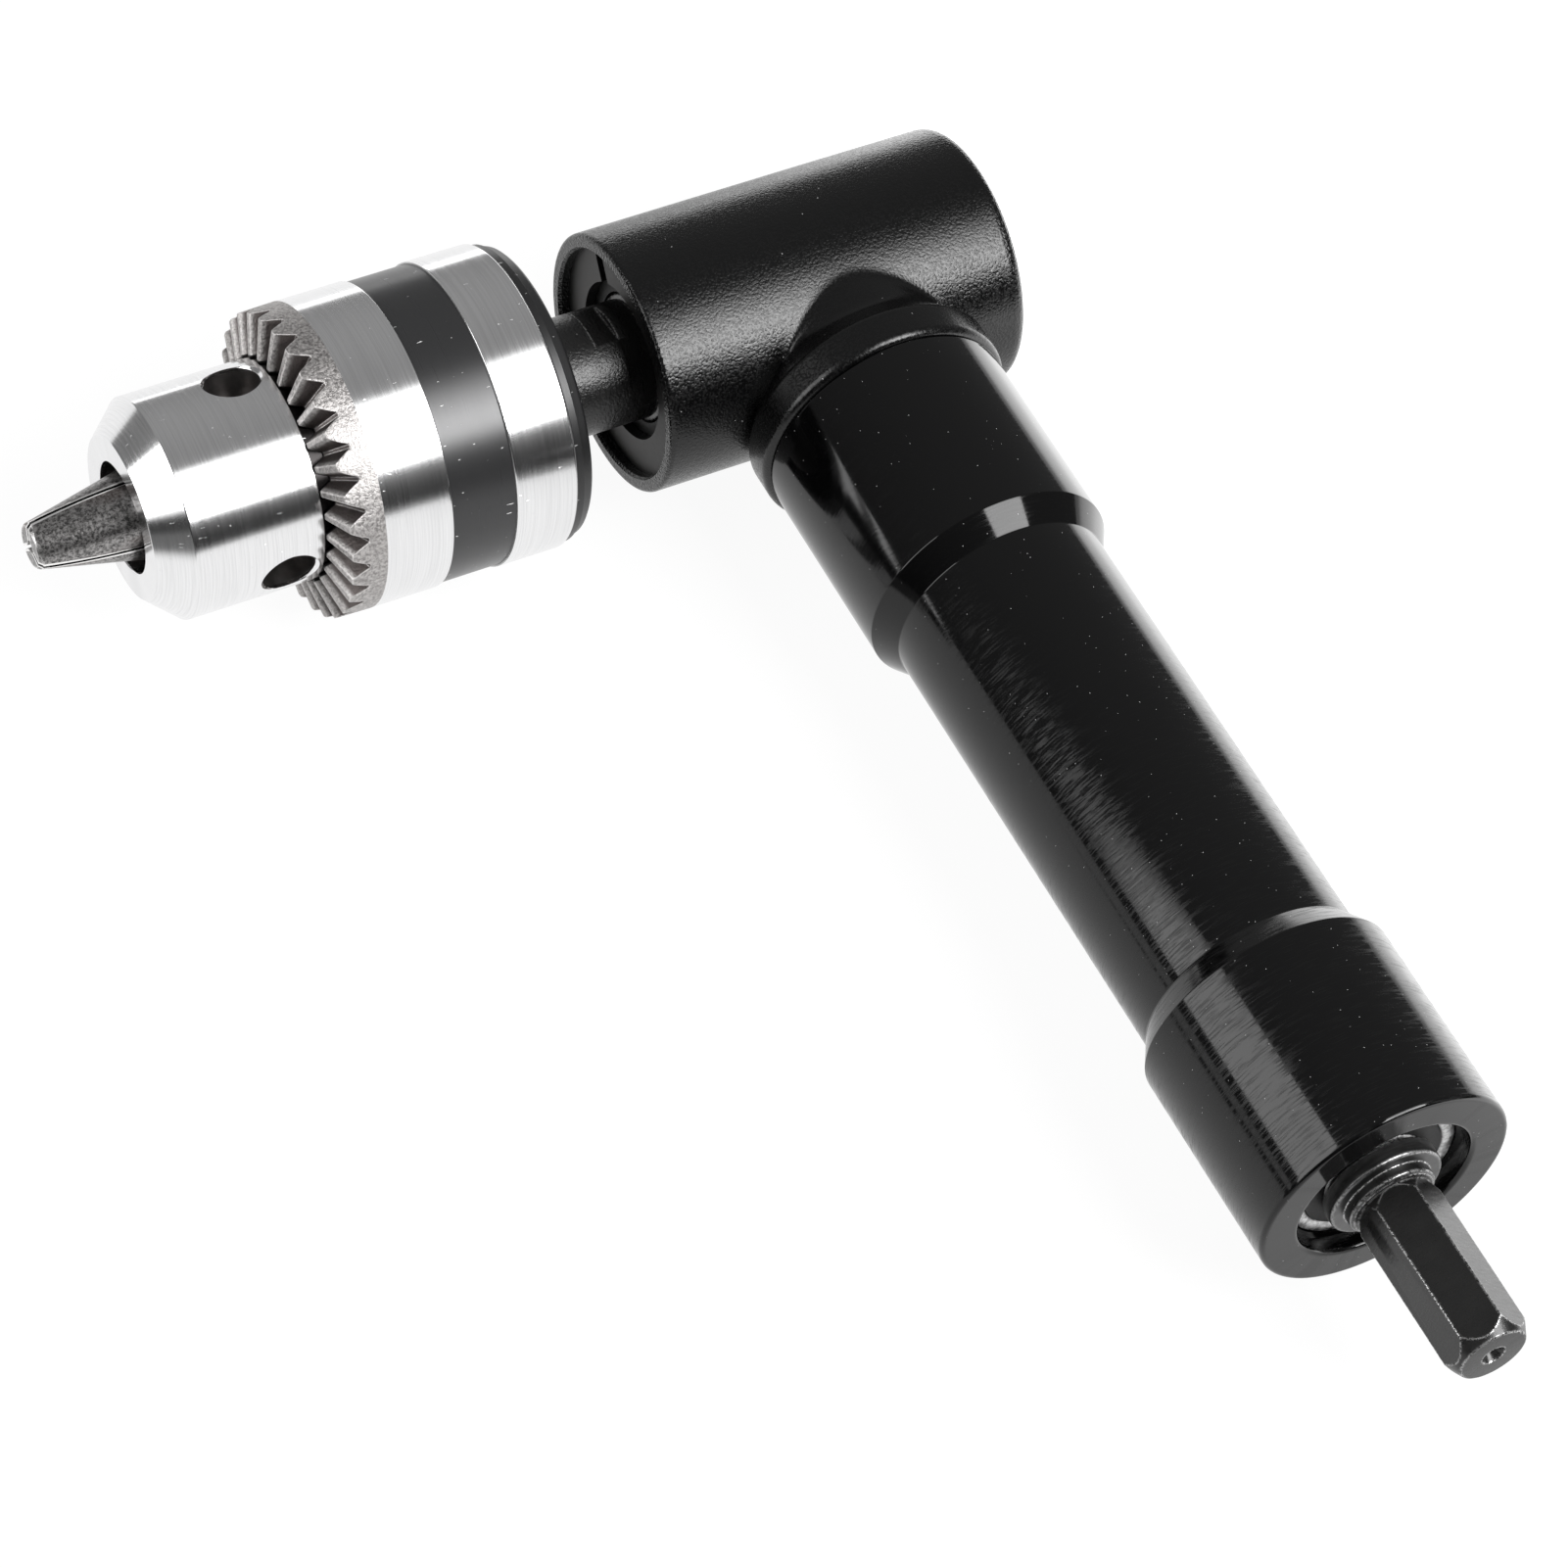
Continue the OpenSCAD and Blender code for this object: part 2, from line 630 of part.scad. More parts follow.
module key_bar(toe, hub_end, seat_r, key_w, key_in, key_out, key_l) {
    translate([seat_r - key_in, -key_w / 2, key_at(toe, hub_end, key_l)])
        cube([key_in + key_out, key_w, key_l]);
}

module output_gear() color([0.55, 0.54, 0.52]) about_x()
    bevel_gear(gear_cone, gear_teeth, gear_pitch_r, pinion_pitch_r, gear_root_at, gear_back,
        front_bearing_at, gear_seat_d / 2, gear_key_w, gear_key_out);

module gear_key() color([0.5, 0.5, 0.5]) about_x()
    key_bar(gear_toe, front_bearing_at, gear_seat_d / 2, gear_key_w, gear_key_in,
        gear_key_out, gear_key_l);

module gear_retaining_ring() color([0.35, 0.35, 0.36]) about_x() rotate([0, 0, 180])
    open_ring(gear_toe - clip_t - press_gap, clip_t, gear_seat_d / 2 + clip_rim,
        clip_in_r + press_gap, clip_gap_w);

// Input shaft: pinion seat, long journal, shoulder and hexagonal shank
pinion_clip_r = pinion_seat_d / 2 - clip_groove;
journal_clip_r = small_bore_d / 2 - clip_groove;
end_face_share = 0.93;

module input_shaft() color([0.12, 0.12, 0.12]) about_y() {
    seat_r = pinion_seat_d / 2;
    journal_r = small_bore_d / 2;
    corner_r = hex_af / 2 / cos(30);
    disc_r = disc_d / 2;
    step_r = corner_r + edge;
    clip_at = pinion_toe - clip_t - press_gap;
    tail = clip_at - clip_t;
    end_face_r = end_face_share * hex_af / 2;
    centre_r = 1.25;
    pilot_r = 0.6;
    difference() {
        union() {
            rotate_extrude() polygon([
                [0, tail], [seat_r - edge, tail], [seat_r, tail + edge], [seat_r, clip_at],
                [pinion_clip_r, clip_at], [pinion_clip_r, pinion_toe], [seat_r, pinion_toe],
                [seat_r, pinion_bearing_at], [journal_r, pinion_bearing_at],
                [journal_r, pinion_bearing_end], [journal_clip_r, pinion_bearing_end],
                [journal_clip_r, pinion_bearing_end + clip_t + press_gap],
                [journal_r, pinion_bearing_end + clip_t + press_gap],
                [journal_r, collar_bearing_end], [disc_r - 4 * edge, collar_bearing_end],
                [disc_r - 4 * edge, disc_at], [disc_r, disc_at + edge / 2],
                [disc_r, disc_end - edge], [disc_r - edge / 2, disc_end], [step_r, disc_end],
                [step_r, hex_at - edge], [step_r - edge, hex_at], [0, hex_at]]);
            intersection() {
                rotate([0, 0, hex_turn]) bore(hex_at - edge, hex_end, corner_r, $fn = 6);
                rotate_extrude() polygon([
                    [0, hex_at - edge], [hex_af / 2, hex_at - edge], [hex_af / 2, hex_at],
                    [corner_r + edge, hex_at + 7 * edge],
                    [corner_r + edge, hex_end - 2 * (corner_r + edge - end_face_r)],
                    [end_face_r, hex_end], [0, hex_end]]);
            }
        }
        translate([0, 0, hex_end - centre_r]) cylinder(h = centre_r + over,
            r1 = pilot_r, r2 = pilot_r + (centre_r + over) * tan(30));
        bore(hex_end - 3 * centre_r, hex_end, pilot_r);
        key_slot(pinion_toe, pinion_bearing_at, seat_r, pinion_key_w, pinion_key_in,
            pinion_key_l);
    }
}

// A tooth gap of the pinion faces the spindle gear's first tooth
module pinion_gear() color([0.55, 0.54, 0.52]) about_y()
    bevel_gear(pinion_cone, pinion_teeth, pinion_pitch_r, gear_pitch_r, pinion_root_at,
        pinion_back, pinion_bearing_at, pinion_seat_d / 2, pinion_key_w, pinion_key_out,
        90 + 180 / pinion_teeth);

module pinion_key() color([0.5, 0.5, 0.5]) about_y()
    key_bar(pinion_toe, pinion_bearing_at, pinion_seat_d / 2, pinion_key_w, pinion_key_in,
        pinion_key_out, pinion_key_l);

module pinion_retaining_ring() color([0.35, 0.35, 0.36]) about_y() rotate([0, 0, 180])
    open_ring(pinion_toe - clip_t - press_gap, clip_t, pinion_seat_d / 2 + clip_rim,
        pinion_clip_r + press_gap, clip_gap_w);

module shaft_retaining_ring() color([0.35, 0.35, 0.36]) about_y()
    open_ring(pinion_bearing_end, clip_t, small_bore_d / 2 + clip_rim,
        journal_clip_r + press_gap, clip_gap_w);

// Chuck jaws: three rods that slope towards the tip and meet on the axis
module jaw_rod(r, before, behind) {
    translate([jaw_rho, 0, jaw_tip_at]) rotate([0, 180 - jaw_angle, 0])
        translate([0, 0, -before]) cylinder(h = before + behind, r = r);
}

module jaw(index) {
    wide = sleeve_d;
    start = jaw_slit / 2 / sin(60);
    rotate([0, 0, jaw_turn + 120 * index]) intersection() {
        jaw_rod(jaw_r, jaw_r, jaw_l);
        linear_extrude(height = jaw_tip_at) polygon([
            [jaw_land + start, jaw_land * tan(60)], [wide + start, wide * tan(60)],
            [wide + start, -wide * tan(60)], [jaw_land + start, -jaw_land * tan(60)]]);
        rotate_extrude() polygon([[0, 0], [wide, 0], [wide, jaw_tip_at - jaw_out],
            [jaw_tip_r + 4 * tip_round, jaw_tip_at - 2 * tip_round],
            [jaw_tip_r + tip_round, jaw_tip_at - tip_round],
            [jaw_tip_r, jaw_tip_at], [0, jaw_tip_at]]);
    }
}

module jaw_1() color([0.4, 0.39, 0.38]) about_x() jaw(0);
module jaw_2() color([0.4, 0.39, 0.38]) about_x() jaw(1);
module jaw_3() color([0.4, 0.39, 0.38]) about_x() jaw(2);

// Chuck body: nose, groove for the nut, flange and rear thread
module chuck_body() color([0.82, 0.82, 0.83]) about_x() difference() {
    groove_at = nut_at - nut_step;
    groove_end = nut_end + nut_step;
    rotate_extrude() polygon([
        [0, body_at], [flange_r - edge, body_at], [flange_r, body_at + edge],
        [flange_r, groove_at], [neck_under_nut_r, groove_at], [neck_under_nut_r, groove_end],
        [body_r, groove_end], [body_r, nose_at - nose_cone_l], [nose_face_d / 2, nose_at],
        [0, nose_at]]);
    bore(body_at - over, body_at + thread_l + edge, thread_d / 2);
    bore(body_at + thread_l, nose_at, bit_bore_r);
    bore(nose_at - nose_hole_l, nose_at + over, nose_hole_d / 2);
    for (i = [0:2]) {
        rotate([0, 0, jaw_turn + 120 * i]) jaw_rod(jaw_bore_r, 0, jaw_reach / cos(jaw_angle) + jaw_r);
        rotate([0, 0, key_turn + 120 * i]) translate([body_r, 0, sleeve_end + key_hole_at])
            rotate([0, 90, 0]) {
                translate([0, 0, -key_hole_l]) cylinder(h = key_hole_l + over, r = key_hole_d / 2);
                translate([0, 0, -2 * key_chamfer]) cylinder(h = 4 * key_chamfer,
                    r1 = key_hole_d / 2 - key_chamfer, r2 = key_hole_d / 2 + 3 * key_chamfer);
            }
    }
}

// Chuck sleeve: a ground ring with a recessed band and teeth on its front face
ring_r = sleeve_r - ring_taper;
ring_front_at = sleeve_end - ring_front_rise;
tooth_out_at = ring_front_at - ring_tooth_h;
tooth_in_at = sleeve_end - ring_bore_tooth_h;
tooth_slope = atan((tooth_in_at - tooth_out_at) / (ring_r - sleeve_mouth_r));

module tooth_gap() {
    half = tooth_floor_w / 2;
    rise = tooth_clear_h * tan(tooth_flank);
    translate([ring_r, 0, tooth_out_at]) rotate([0, tooth_slope - 90, 0])
        translate([0, 0, -3 * edge]) linear_extrude(height = ring_r - sleeve_mouth_r + 8 * edge)
            polygon([[0, -half], [tooth_clear_h, -half - rise], [tooth_clear_h, half + rise],
                [0, half]]);
}

module chuck_sleeve() color([0.8, 0.8, 0.81]) about_x() {
    rim_at = sleeve_at + sleeve_rim_l;
    rim_step_share = 0.55;
    band_end = band_at + band_w;
    nut_stop = nut_end + press_gap;
    difference() {
        rotate_extrude() polygon([
            [sleeve_bore_r, sleeve_at], [sleeve_r - 4 * edge, sleeve_at],
            [sleeve_r - 2.8 * edge, sleeve_at + edge],
            [sleeve_r - 1.6 * edge, sleeve_at + rim_step_share * sleeve_rim_l],
            [sleeve_r - 1.2 * edge, sleeve_at + rim_step_share * sleeve_rim_l],
            [sleeve_r - edge, rim_at - edge], [sleeve_r, rim_at],
            [sleeve_r, sleeve_at + band_at], [sleeve_r - band_depth, sleeve_at + band_at],
            [sleeve_r - band_depth, sleeve_at + band_end], [sleeve_r, sleeve_at + band_end],
            [sleeve_r, sleeve_end - sleeve_ring_l], [ring_r, ring_front_at],
            [sleeve_mouth_r + edge, sleeve_end], [sleeve_mouth_r, sleeve_end],
            [sleeve_mouth_r, nut_stop], [sleeve_bore_r, nut_stop]]);
        for (i = [0:ring_teeth - 1])
            rotate([0, 0, ring_turn + 360 * i / ring_teeth]) tooth_gap();
    }
}

// Split nut: two half rings that the sleeve holds in the body's groove
module jaw_nut_half(index) {
    r_out = sleeve_bore_r - press_gap;
    difference() {
        rotate_extrude() polygon([
            [jaw_outside(nut_at) + nut_clear, nut_at], [r_out, nut_at], [r_out, nut_end],
            [jaw_outside(nut_end) + nut_clear, nut_end]]);
        rotate([0, 0, 180 * index]) translate([-sleeve_d, -sleeve_d + nut_split / 2, nut_at - over])
            cube([2 * sleeve_d, sleeve_d, nut_w + 2 * over]);
    }
}

module jaw_nut_half_1() color([0.45, 0.44, 0.43]) about_x() jaw_nut_half(0);
module jaw_nut_half_2() color([0.45, 0.44, 0.43]) about_x() jaw_nut_half(1);

head_housing();
handle_tube();
head_retaining_ring();
front_bearing_outer();
front_bearing_inner();
front_bearing_balls();
front_bearing_cage();
front_bearing_seals();
rear_bearing_outer();
rear_bearing_inner();
rear_bearing_balls();
rear_bearing_cage();
pinion_bearing_outer();
pinion_bearing_inner();
pinion_bearing_balls();
pinion_bearing_cage();
collar_bearing_outer();
collar_bearing_inner();
collar_bearing_balls();
collar_bearing_cage();
collar_bearing_seals();
output_spindle();
output_gear();
gear_key();
gear_retaining_ring();
input_shaft();
pinion_gear();
pinion_key();
pinion_retaining_ring();
shaft_retaining_ring();
chuck_body();
chuck_sleeve();
jaw_nut_half_1();
jaw_nut_half_2();
jaw_1();
jaw_2();
jaw_3();
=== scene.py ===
import json
import math

import bmesh
import bpy
import numpy as np
from mathutils import Matrix, Vector


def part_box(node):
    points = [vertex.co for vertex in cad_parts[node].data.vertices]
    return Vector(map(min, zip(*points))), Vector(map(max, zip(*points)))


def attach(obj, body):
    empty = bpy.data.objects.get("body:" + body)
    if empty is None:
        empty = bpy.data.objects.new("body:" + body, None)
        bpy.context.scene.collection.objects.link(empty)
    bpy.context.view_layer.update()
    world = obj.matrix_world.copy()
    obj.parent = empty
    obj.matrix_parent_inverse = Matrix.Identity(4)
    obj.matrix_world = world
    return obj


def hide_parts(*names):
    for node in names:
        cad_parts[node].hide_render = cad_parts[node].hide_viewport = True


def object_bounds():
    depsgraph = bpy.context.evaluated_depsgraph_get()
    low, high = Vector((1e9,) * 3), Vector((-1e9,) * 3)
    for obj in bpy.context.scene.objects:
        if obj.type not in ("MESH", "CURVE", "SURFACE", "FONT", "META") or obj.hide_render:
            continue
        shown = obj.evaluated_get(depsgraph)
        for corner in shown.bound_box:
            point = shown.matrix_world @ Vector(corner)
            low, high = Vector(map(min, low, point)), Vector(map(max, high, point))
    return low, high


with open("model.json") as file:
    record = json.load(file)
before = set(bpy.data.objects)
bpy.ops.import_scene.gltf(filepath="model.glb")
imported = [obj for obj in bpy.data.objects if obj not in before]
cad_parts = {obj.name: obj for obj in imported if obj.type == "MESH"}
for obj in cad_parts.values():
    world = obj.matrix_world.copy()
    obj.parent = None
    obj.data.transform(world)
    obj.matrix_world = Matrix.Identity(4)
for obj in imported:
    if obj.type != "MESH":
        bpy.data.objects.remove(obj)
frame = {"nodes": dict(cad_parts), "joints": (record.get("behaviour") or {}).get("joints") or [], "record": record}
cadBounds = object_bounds()
mm = 0.001
fit = 0.02  # gap left between a ring and its seat
weld = 0.0005  # points nearer than this are one

# The spindle and the input shaft cross here; every outline below is in mm from this point
cross = Vector(next(j for j in frame["joints"] if j["name"] == "spindle_spin")["pos_m"])


def span(node):
    low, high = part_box(node)
    return (low - cross) / mm, (high - cross) / mm


headLow, headHigh = span("head_housing")
handleLow, handleHigh = span("handle_tube")
frontLow, frontHigh = span("front_bearing_outer")
rearLow, rearHigh = span("rear_bearing_outer")
pinionLow, pinionHigh = span("pinion_bearing_outer")
collarLow, collarHigh = span("collar_bearing_outer")
ringHigh = span("head_retaining_ring")[1]
sleeveLow, sleeveHigh = span("chuck_sleeve")
bodyLow, bodyHigh = span("chuck_body")
shaftLow, shaftHigh = span("input_shaft")
spindleLow, spindleHigh = span("output_spindle")
nutLow, nutHigh = span("jaw_nut_half_1")
tipAt = span("jaw_1")[1].x
print("frame read, axes cross at", tuple(round(v, 5) for v in cross))


# Mesh helpers

def place(name, data, at=(0, 0, 0), axes=((1, 0, 0), (0, 1, 0), (0, 0, 1))):
    made = bpy.data.objects.new(name, data)
    bpy.context.scene.collection.objects.link(made)
    made.matrix_world = Matrix.Translation(at) @ Matrix(axes).transposed().to_4x4()
    return made


def newPiece(name, verts, faces):
    mesh = bpy.data.meshes.new(name)
    mesh.from_pydata(verts, [], faces)
    mesh.update()
    return place(name, mesh)


def settle(piece):  # turns the modifiers into a plain mesh
    graph = bpy.context.evaluated_depsgraph_get()
    made = bpy.data.meshes.new_from_object(piece.evaluated_get(graph))
    piece.modifiers.clear()
    piece.data = made
    made.name = piece.name
    return piece


def outward(piece):  # joins double points and turns every face outwards
    work = bmesh.new()
    work.from_mesh(piece.data)
    bmesh.ops.remove_doubles(work, verts=work.verts, dist=weld * mm)
    bmesh.ops.recalc_face_normals(work, faces=work.faces)
    work.to_mesh(piece.data)
    work.free()
    return piece


def combine(piece, tool, operation="DIFFERENCE", solver="MANIFOLD"):
    cut = piece.modifiers.new("cut", "BOOLEAN")
    cut.object, cut.operation, cut.solver = tool, operation, solver
    settle(piece)
    bpy.data.objects.remove(tool)
    return piece


def softEdges(piece, width, angle=38, segments=2):
    soften = piece.modifiers.new("soften", "BEVEL")
    soften.width, soften.segments = width * mm, segments
    soften.limit_method, soften.angle_limit = "ANGLE", math.radians(angle)
    soften.use_clamp_overlap = True
    soften.harden_normals = False
    return settle(piece)


def smooth(piece, angle=32):
    piece.data.shade_smooth()
    piece.data.set_sharp_from_angle(angle=math.radians(angle))
    return piece


# An outline is a list of (along, radius) or (along, radius, rounding) corners
def rounded(corners, closed, arcSteps=5, most=0.49):
    corners = [(*c, 0)[:3] for c in corners]
    count, points = len(corners), []
    for i, (along, radius, rounding) in enumerate(corners):
        here = Vector((along, radius))
        if rounding == 0 or (not closed and i in (0, count - 1)):
            points.append(here)
            continue
        before = Vector(corners[i - 1][:2]) - here
        after = Vector(corners[(i + 1) % count][:2]) - here
        half = before.angle(after) / 2
        reach = min(rounding / math.tan(half), most * before.length, most * after.length)
        bend = reach * math.tan(half)
        before.normalize()
        after.normalize()
        middle = here + (before + after).normalized() * bend / math.sin(half)
        start, end = here + before * reach - middle, here + after * reach - middle
        sweep = start.angle_signed(end)
        for k in range(arcSteps + 1):
            turn = Matrix.Rotation(-sweep * k / arcSteps, 2)
            points.append(middle + turn @ start)
    return points


def spaced(points, closed, longest, collar=0.12):
    # rows near each corner keep the shading of long walls even
    pairs = list(zip(points, points[1:] + points[:1])) if closed else list(zip(points, points[1:]))
    out = []
    for a, b in pairs:
        length = (b - a).length
        out.append(a)
        if length > 4 * collar:
            inner = length - 2 * collar
            rows = max(1, math.ceil(inner / longest))
            out += [a.lerp(b, (collar + inner * k / rows) / length) for k in range(rows + 1)]
    return out if closed else out + [points[-1]]


def aroundX(along, radius, turn):
    return cross + Vector((along, radius * math.cos(turn), radius * math.sin(turn))) * mm


def aroundY(along, radius, turn):
    return cross + Vector((radius * math.sin(turn), along, radius * math.cos(turn))) * mm


def turned(name, corners, where, closed=False, steps=192, longest=1.5):
    outline = spaced(rounded(corners, closed), closed, longest)
    verts, rings = [], []
    for point in outline:
        if point.y < weld:
            rings.append([len(verts)] * steps)
            verts.append(where(point.x, 0, 0))
        else:
            rings.append(list(range(len(verts), len(verts) + steps)))
            verts += [where(point.x, point.y, 2 * math.pi * k / steps) for k in range(steps)]
    faces = []
    following = rings[1:] + rings[:1] if closed else rings[1:]
    for low, high in zip(rings, following):
        for k in range(steps):
            n = (k + 1) % steps
            face = list(dict.fromkeys((low[k], low[n], high[n], high[k])))
            if len(face) > 2:
                faces.append(face)
    return outward(newPiece(name, verts, faces))


def prism(name, outline, start, end, where):
    # a straight bar: outline points are (across, up), start and end lie along the axis
    verts = [where(along, *p) for along in (start, end) for p in outline]
    count = len(outline)
    faces = [list(range(count))[::-1], list(range(count, 2 * count))]
    faces += [[k, (k + 1) % count, (k + 1) % count + count, k + count] for k in range(count)]
    return outward(newPiece(name, verts, faces))


def flatX(along, across, up):
    return cross + Vector((along, across, up)) * mm


def flatY(along, across, up):
    return cross + Vector((across, along, up)) * mm


# Node trees

class Signal:  # a node's output that can stand in a sum
    def __init__(self, graph, socket):
        self.graph, self.socket = graph, socket

    def output(self, name):  # another output of the same node
        return Signal(self.graph, self.socket.node.outputs[name])

    def math(self, operation, *others):
        return self.graph.node("ShaderNodeMath", {"operation": operation}, [self, *others])

    def clamped(self):
        return self.graph.node("ShaderNodeClamp", {}, [self])

    def __add__(self, other):
        return self.math("ADD", other)

    def __sub__(self, other):
        return self.math("SUBTRACT", other)

    def __rsub__(self, other):
        return self.graph.node("ShaderNodeMath", {"operation": "SUBTRACT"}, [other, self])

    def __mul__(self, other):
        return self.math("MULTIPLY", other)

    def __truediv__(self, other):
        return self.math("DIVIDE", other)

    def __pow__(self, other):
        return self.math("POWER", other)

    __radd__, __rmul__ = __add__, __mul__


class Graph:  # a node tree that is built by calls
    def __init__(self, tree):
        self.tree = tree
        tree.nodes.clear()

    def node(self, kind, settings=None, inputs=(), output=0):
        made = self.tree.nodes.new(kind)
        for key, value in (settings or {}).items():
            setattr(made, key, value)
        pairs = inputs.items() if isinstance(inputs, dict) else enumerate(inputs)
        for key, value in pairs:
            socket = made.inputs[key]
            if isinstance(value, Signal):
                self.tree.links.new(value.socket, socket)
                continue
            if socket.type == "RGBA":
                value = (*value, 1) if isinstance(value, tuple) else (value, value, value, 1)
            socket.default_value = value
        return Signal(self, made.outputs[output]) if made.outputs else None


def ringTree():  # copies of one shape round an axis
    tree = bpy.data.node_groups.new("copiesRoundAxis", "GeometryNodeTree")
    for name, kind, way in (("Shape", "Geometry", "INPUT"), ("Count", "Int", "INPUT"),
                            ("First turn", "Float", "INPUT"), ("Axis", "Vector", "INPUT"),
                            ("Centre", "Vector", "INPUT"), ("Finish", "Material", "INPUT"),
                            ("Ring", "Geometry", "OUTPUT")):
        tree.interface.new_socket(name, in_out=way, socket_type="NodeSocket" + kind)
    graph = Graph(tree)
    given = graph.node("NodeGroupInput")
    count, centre = given.output("Count"), given.output("Centre")
    back = graph.node("ShaderNodeVectorMath", {"operation": "SCALE"}, {0: centre, "Scale": -1})
    centred = graph.node("GeometryNodeTransform", {}, {"Geometry": given, "Translation": back})
    dots = graph.node("GeometryNodePoints", {}, {"Count": count, "Position": centre})
    share = graph.node("GeometryNodeInputIndex") / count
    turn = share.math("MULTIPLY_ADD", 2 * math.pi, given.output("First turn"))
    spin = graph.node("FunctionNodeAxisAngleToRotation", {}, {"Axis": given.output("Axis"), "Angle": turn})
    copies = graph.node("GeometryNodeInstanceOnPoints", {},
                        {"Points": dots, "Instance": centred, "Rotation": spin})
    real = graph.node("GeometryNodeRealizeInstances", {}, [copies])
    finish = graph.node("GeometryNodeSetMaterial", {}, {"Geometry": real, "Material": given.output("Finish")})
    graph.node("NodeGroupOutput", {}, [finish])
    return tree


ringOfCopies = ringTree()


def ringed(piece, count, firstTurn=0, axis=(1, 0, 0)):
    sizes = {"Count": count, "First turn": math.radians(firstTurn), "Axis": axis, "Centre": tuple(cross)}
    copies = piece.modifiers.new("copies", "NODES")
    copies.node_group = ringOfCopies
    for socket in ringOfCopies.interface.items_tree:
        if socket.name in sizes:
            copies[socket.identifier] = sizes[socket.name]
    return settle(piece)


class Shading(Graph):  # a shader tree with its coordinates at hand
    def __init__(self, owner, coordinates):
        owner.use_nodes = True
        super().__init__(owner.node_tree)
        self.spot = self.node("ShaderNodeTexCoord", output=coordinates)
        split = self.node("ShaderNodeSeparateXYZ", {}, [self.spot])
        self.x, self.y, self.z = (split.output(letter) for letter in "XYZ")

    def vector(self, x, y, z):
        return self.node("ShaderNodeCombineXYZ", {}, [x, y, z])

    def noise(self, vector, scale, detail=3.0, roughness=0.55):
        return self.node("ShaderNodeTexNoise", {}, {"Vector": vector, "Scale": scale, "Detail": detail,
                                                    "Roughness": roughness})

    def step(self, value, low, high):  # 0 below low, 1 above high
        return self.node("ShaderNodeMapRange", {"interpolation_type": "SMOOTHSTEP"},
                         {"Value": value, "From Min": low, "From Max": high})

    def past(self, value, limits):  # the same for a length, with limits in mm
        return self.step(value, limits[0] * mm, limits[1] * mm)


class Paint(Shading):  # one material and its nodes
    def __init__(self, name):
        self.material = bpy.data.materials.new(name)
        super().__init__(self.material, "Object")

    def blend(self, mask, first, second):  # these are the Mix node's factor and its two colours
        return self.node("ShaderNodeMix", {"data_type": "RGBA"}, {0: mask, 6: first, 7: second}, 2)

    def layers(self, colour, *coats):  # each coat is (mask, colour) and covers what is there
        for mask, shade in coats:
            colour = self.blend(mask, colour, shade)
        return colour

    def roundX(self):  # distance from the spindle's axis, and the turn round it as a pair
        side = self.y - cross.y
        radius = (side * side + self.z * self.z) ** 0.5
        return radius, side / radius, self.z / radius

    def roundY(self):
        radius = (self.x * self.x + self.z * self.z) ** 0.5
        return radius, self.z / radius, self.x / radius

    def turnLines(self, axis, pitch, wander, detail=2.0):
        # fine lines left by turning: quick to change along the axis, slow round it
        along = (self.x if axis == "X" else self.y) * (1 / (pitch * mm))
        _, first, second = self.roundX() if axis == "X" else self.roundY()
        return self.noise(self.vector(along, first * wander, second * wander), 1.0, detail)

    def streaks(self, lengthwise, across, detail):
        return self.noise(self.vector(self.x * lengthwise, self.y * across, self.z * across), 1.0, detail)

    def specks(self, density, size, chance):  # a small dot in some cells of a grid
        cell = self.node("ShaderNodeTexVoronoi", {}, {"Vector": self.spot, "Scale": density})
        pick = self.node("ShaderNodeSeparateColor", {}, [cell.output("Color")])
        return (1 - self.step(cell, size * 0.6, size)) * self.step(pick, 1 - chance, 1.02 - chance)

    def bump(self, height, distance, under=None):
        links = {"Height": height, "Distance": distance * mm}
        if under is not None:
            links["Normal"] = under
        return self.node("ShaderNodeBump", {}, links)

    def bumps(self, *layers):
        normal = None
        for height, distance in layers:
            normal = self.bump(height, distance, normal)
        return normal

    def edges(self, radius, gain):  # 1 on sharp edges, 0 on open faces
        soft = self.node("ShaderNodeBevel", {"samples": 4}, {"Radius": radius * mm})
        flat = self.node("ShaderNodeNewGeometry", output="Normal")
        agree = self.node("ShaderNodeVectorMath", {"operation": "DOT_PRODUCT"}, [soft, flat], "Value")
        return ((1 - agree) * gain).clamped()

    def finish(self, colour, roughness, metallic=0.0, normal=None, index=1.5, coat=0.0):
        surface = {"Base Color": colour, "Roughness": roughness, "Metallic": metallic,
                   "IOR": index, "Coat Weight": coat}
        if normal is not None:
            surface["Normal"] = normal
        shader = self.node("ShaderNodeBsdfPrincipled", {}, surface)
        self.node("ShaderNodeOutputMaterial", {}, {"Surface": shader})
        return self.material


# Finishes. Colours are linear, and one number is a grey. A noise is (scale per metre, detail, roughness),
# turned lines are (pitch in mm, wander, detail), specks are (number per metre, size, chance) and edges are
# (radius in mm, gain). Heights are in mm. Any other pair is where a change starts and where it ends.

castLooks = dict(
    black=(0.0015, 0.0015, 0.0016), dust=0.40, specks=(1100, 0.085, 0.08), turned=(14.5, 14.9),
    pebbles=(3500, 1.5, 0.5), pebbleStep=(0.4, 0.6), waves=(700, 2), rough=0.13, roughNeck=0.06,
    roughPebbles=0.14, pebbleHeight=0.13, waveHeight=0.012, calmPebbles=0.85, calmWaves=0.6, index=1.43)


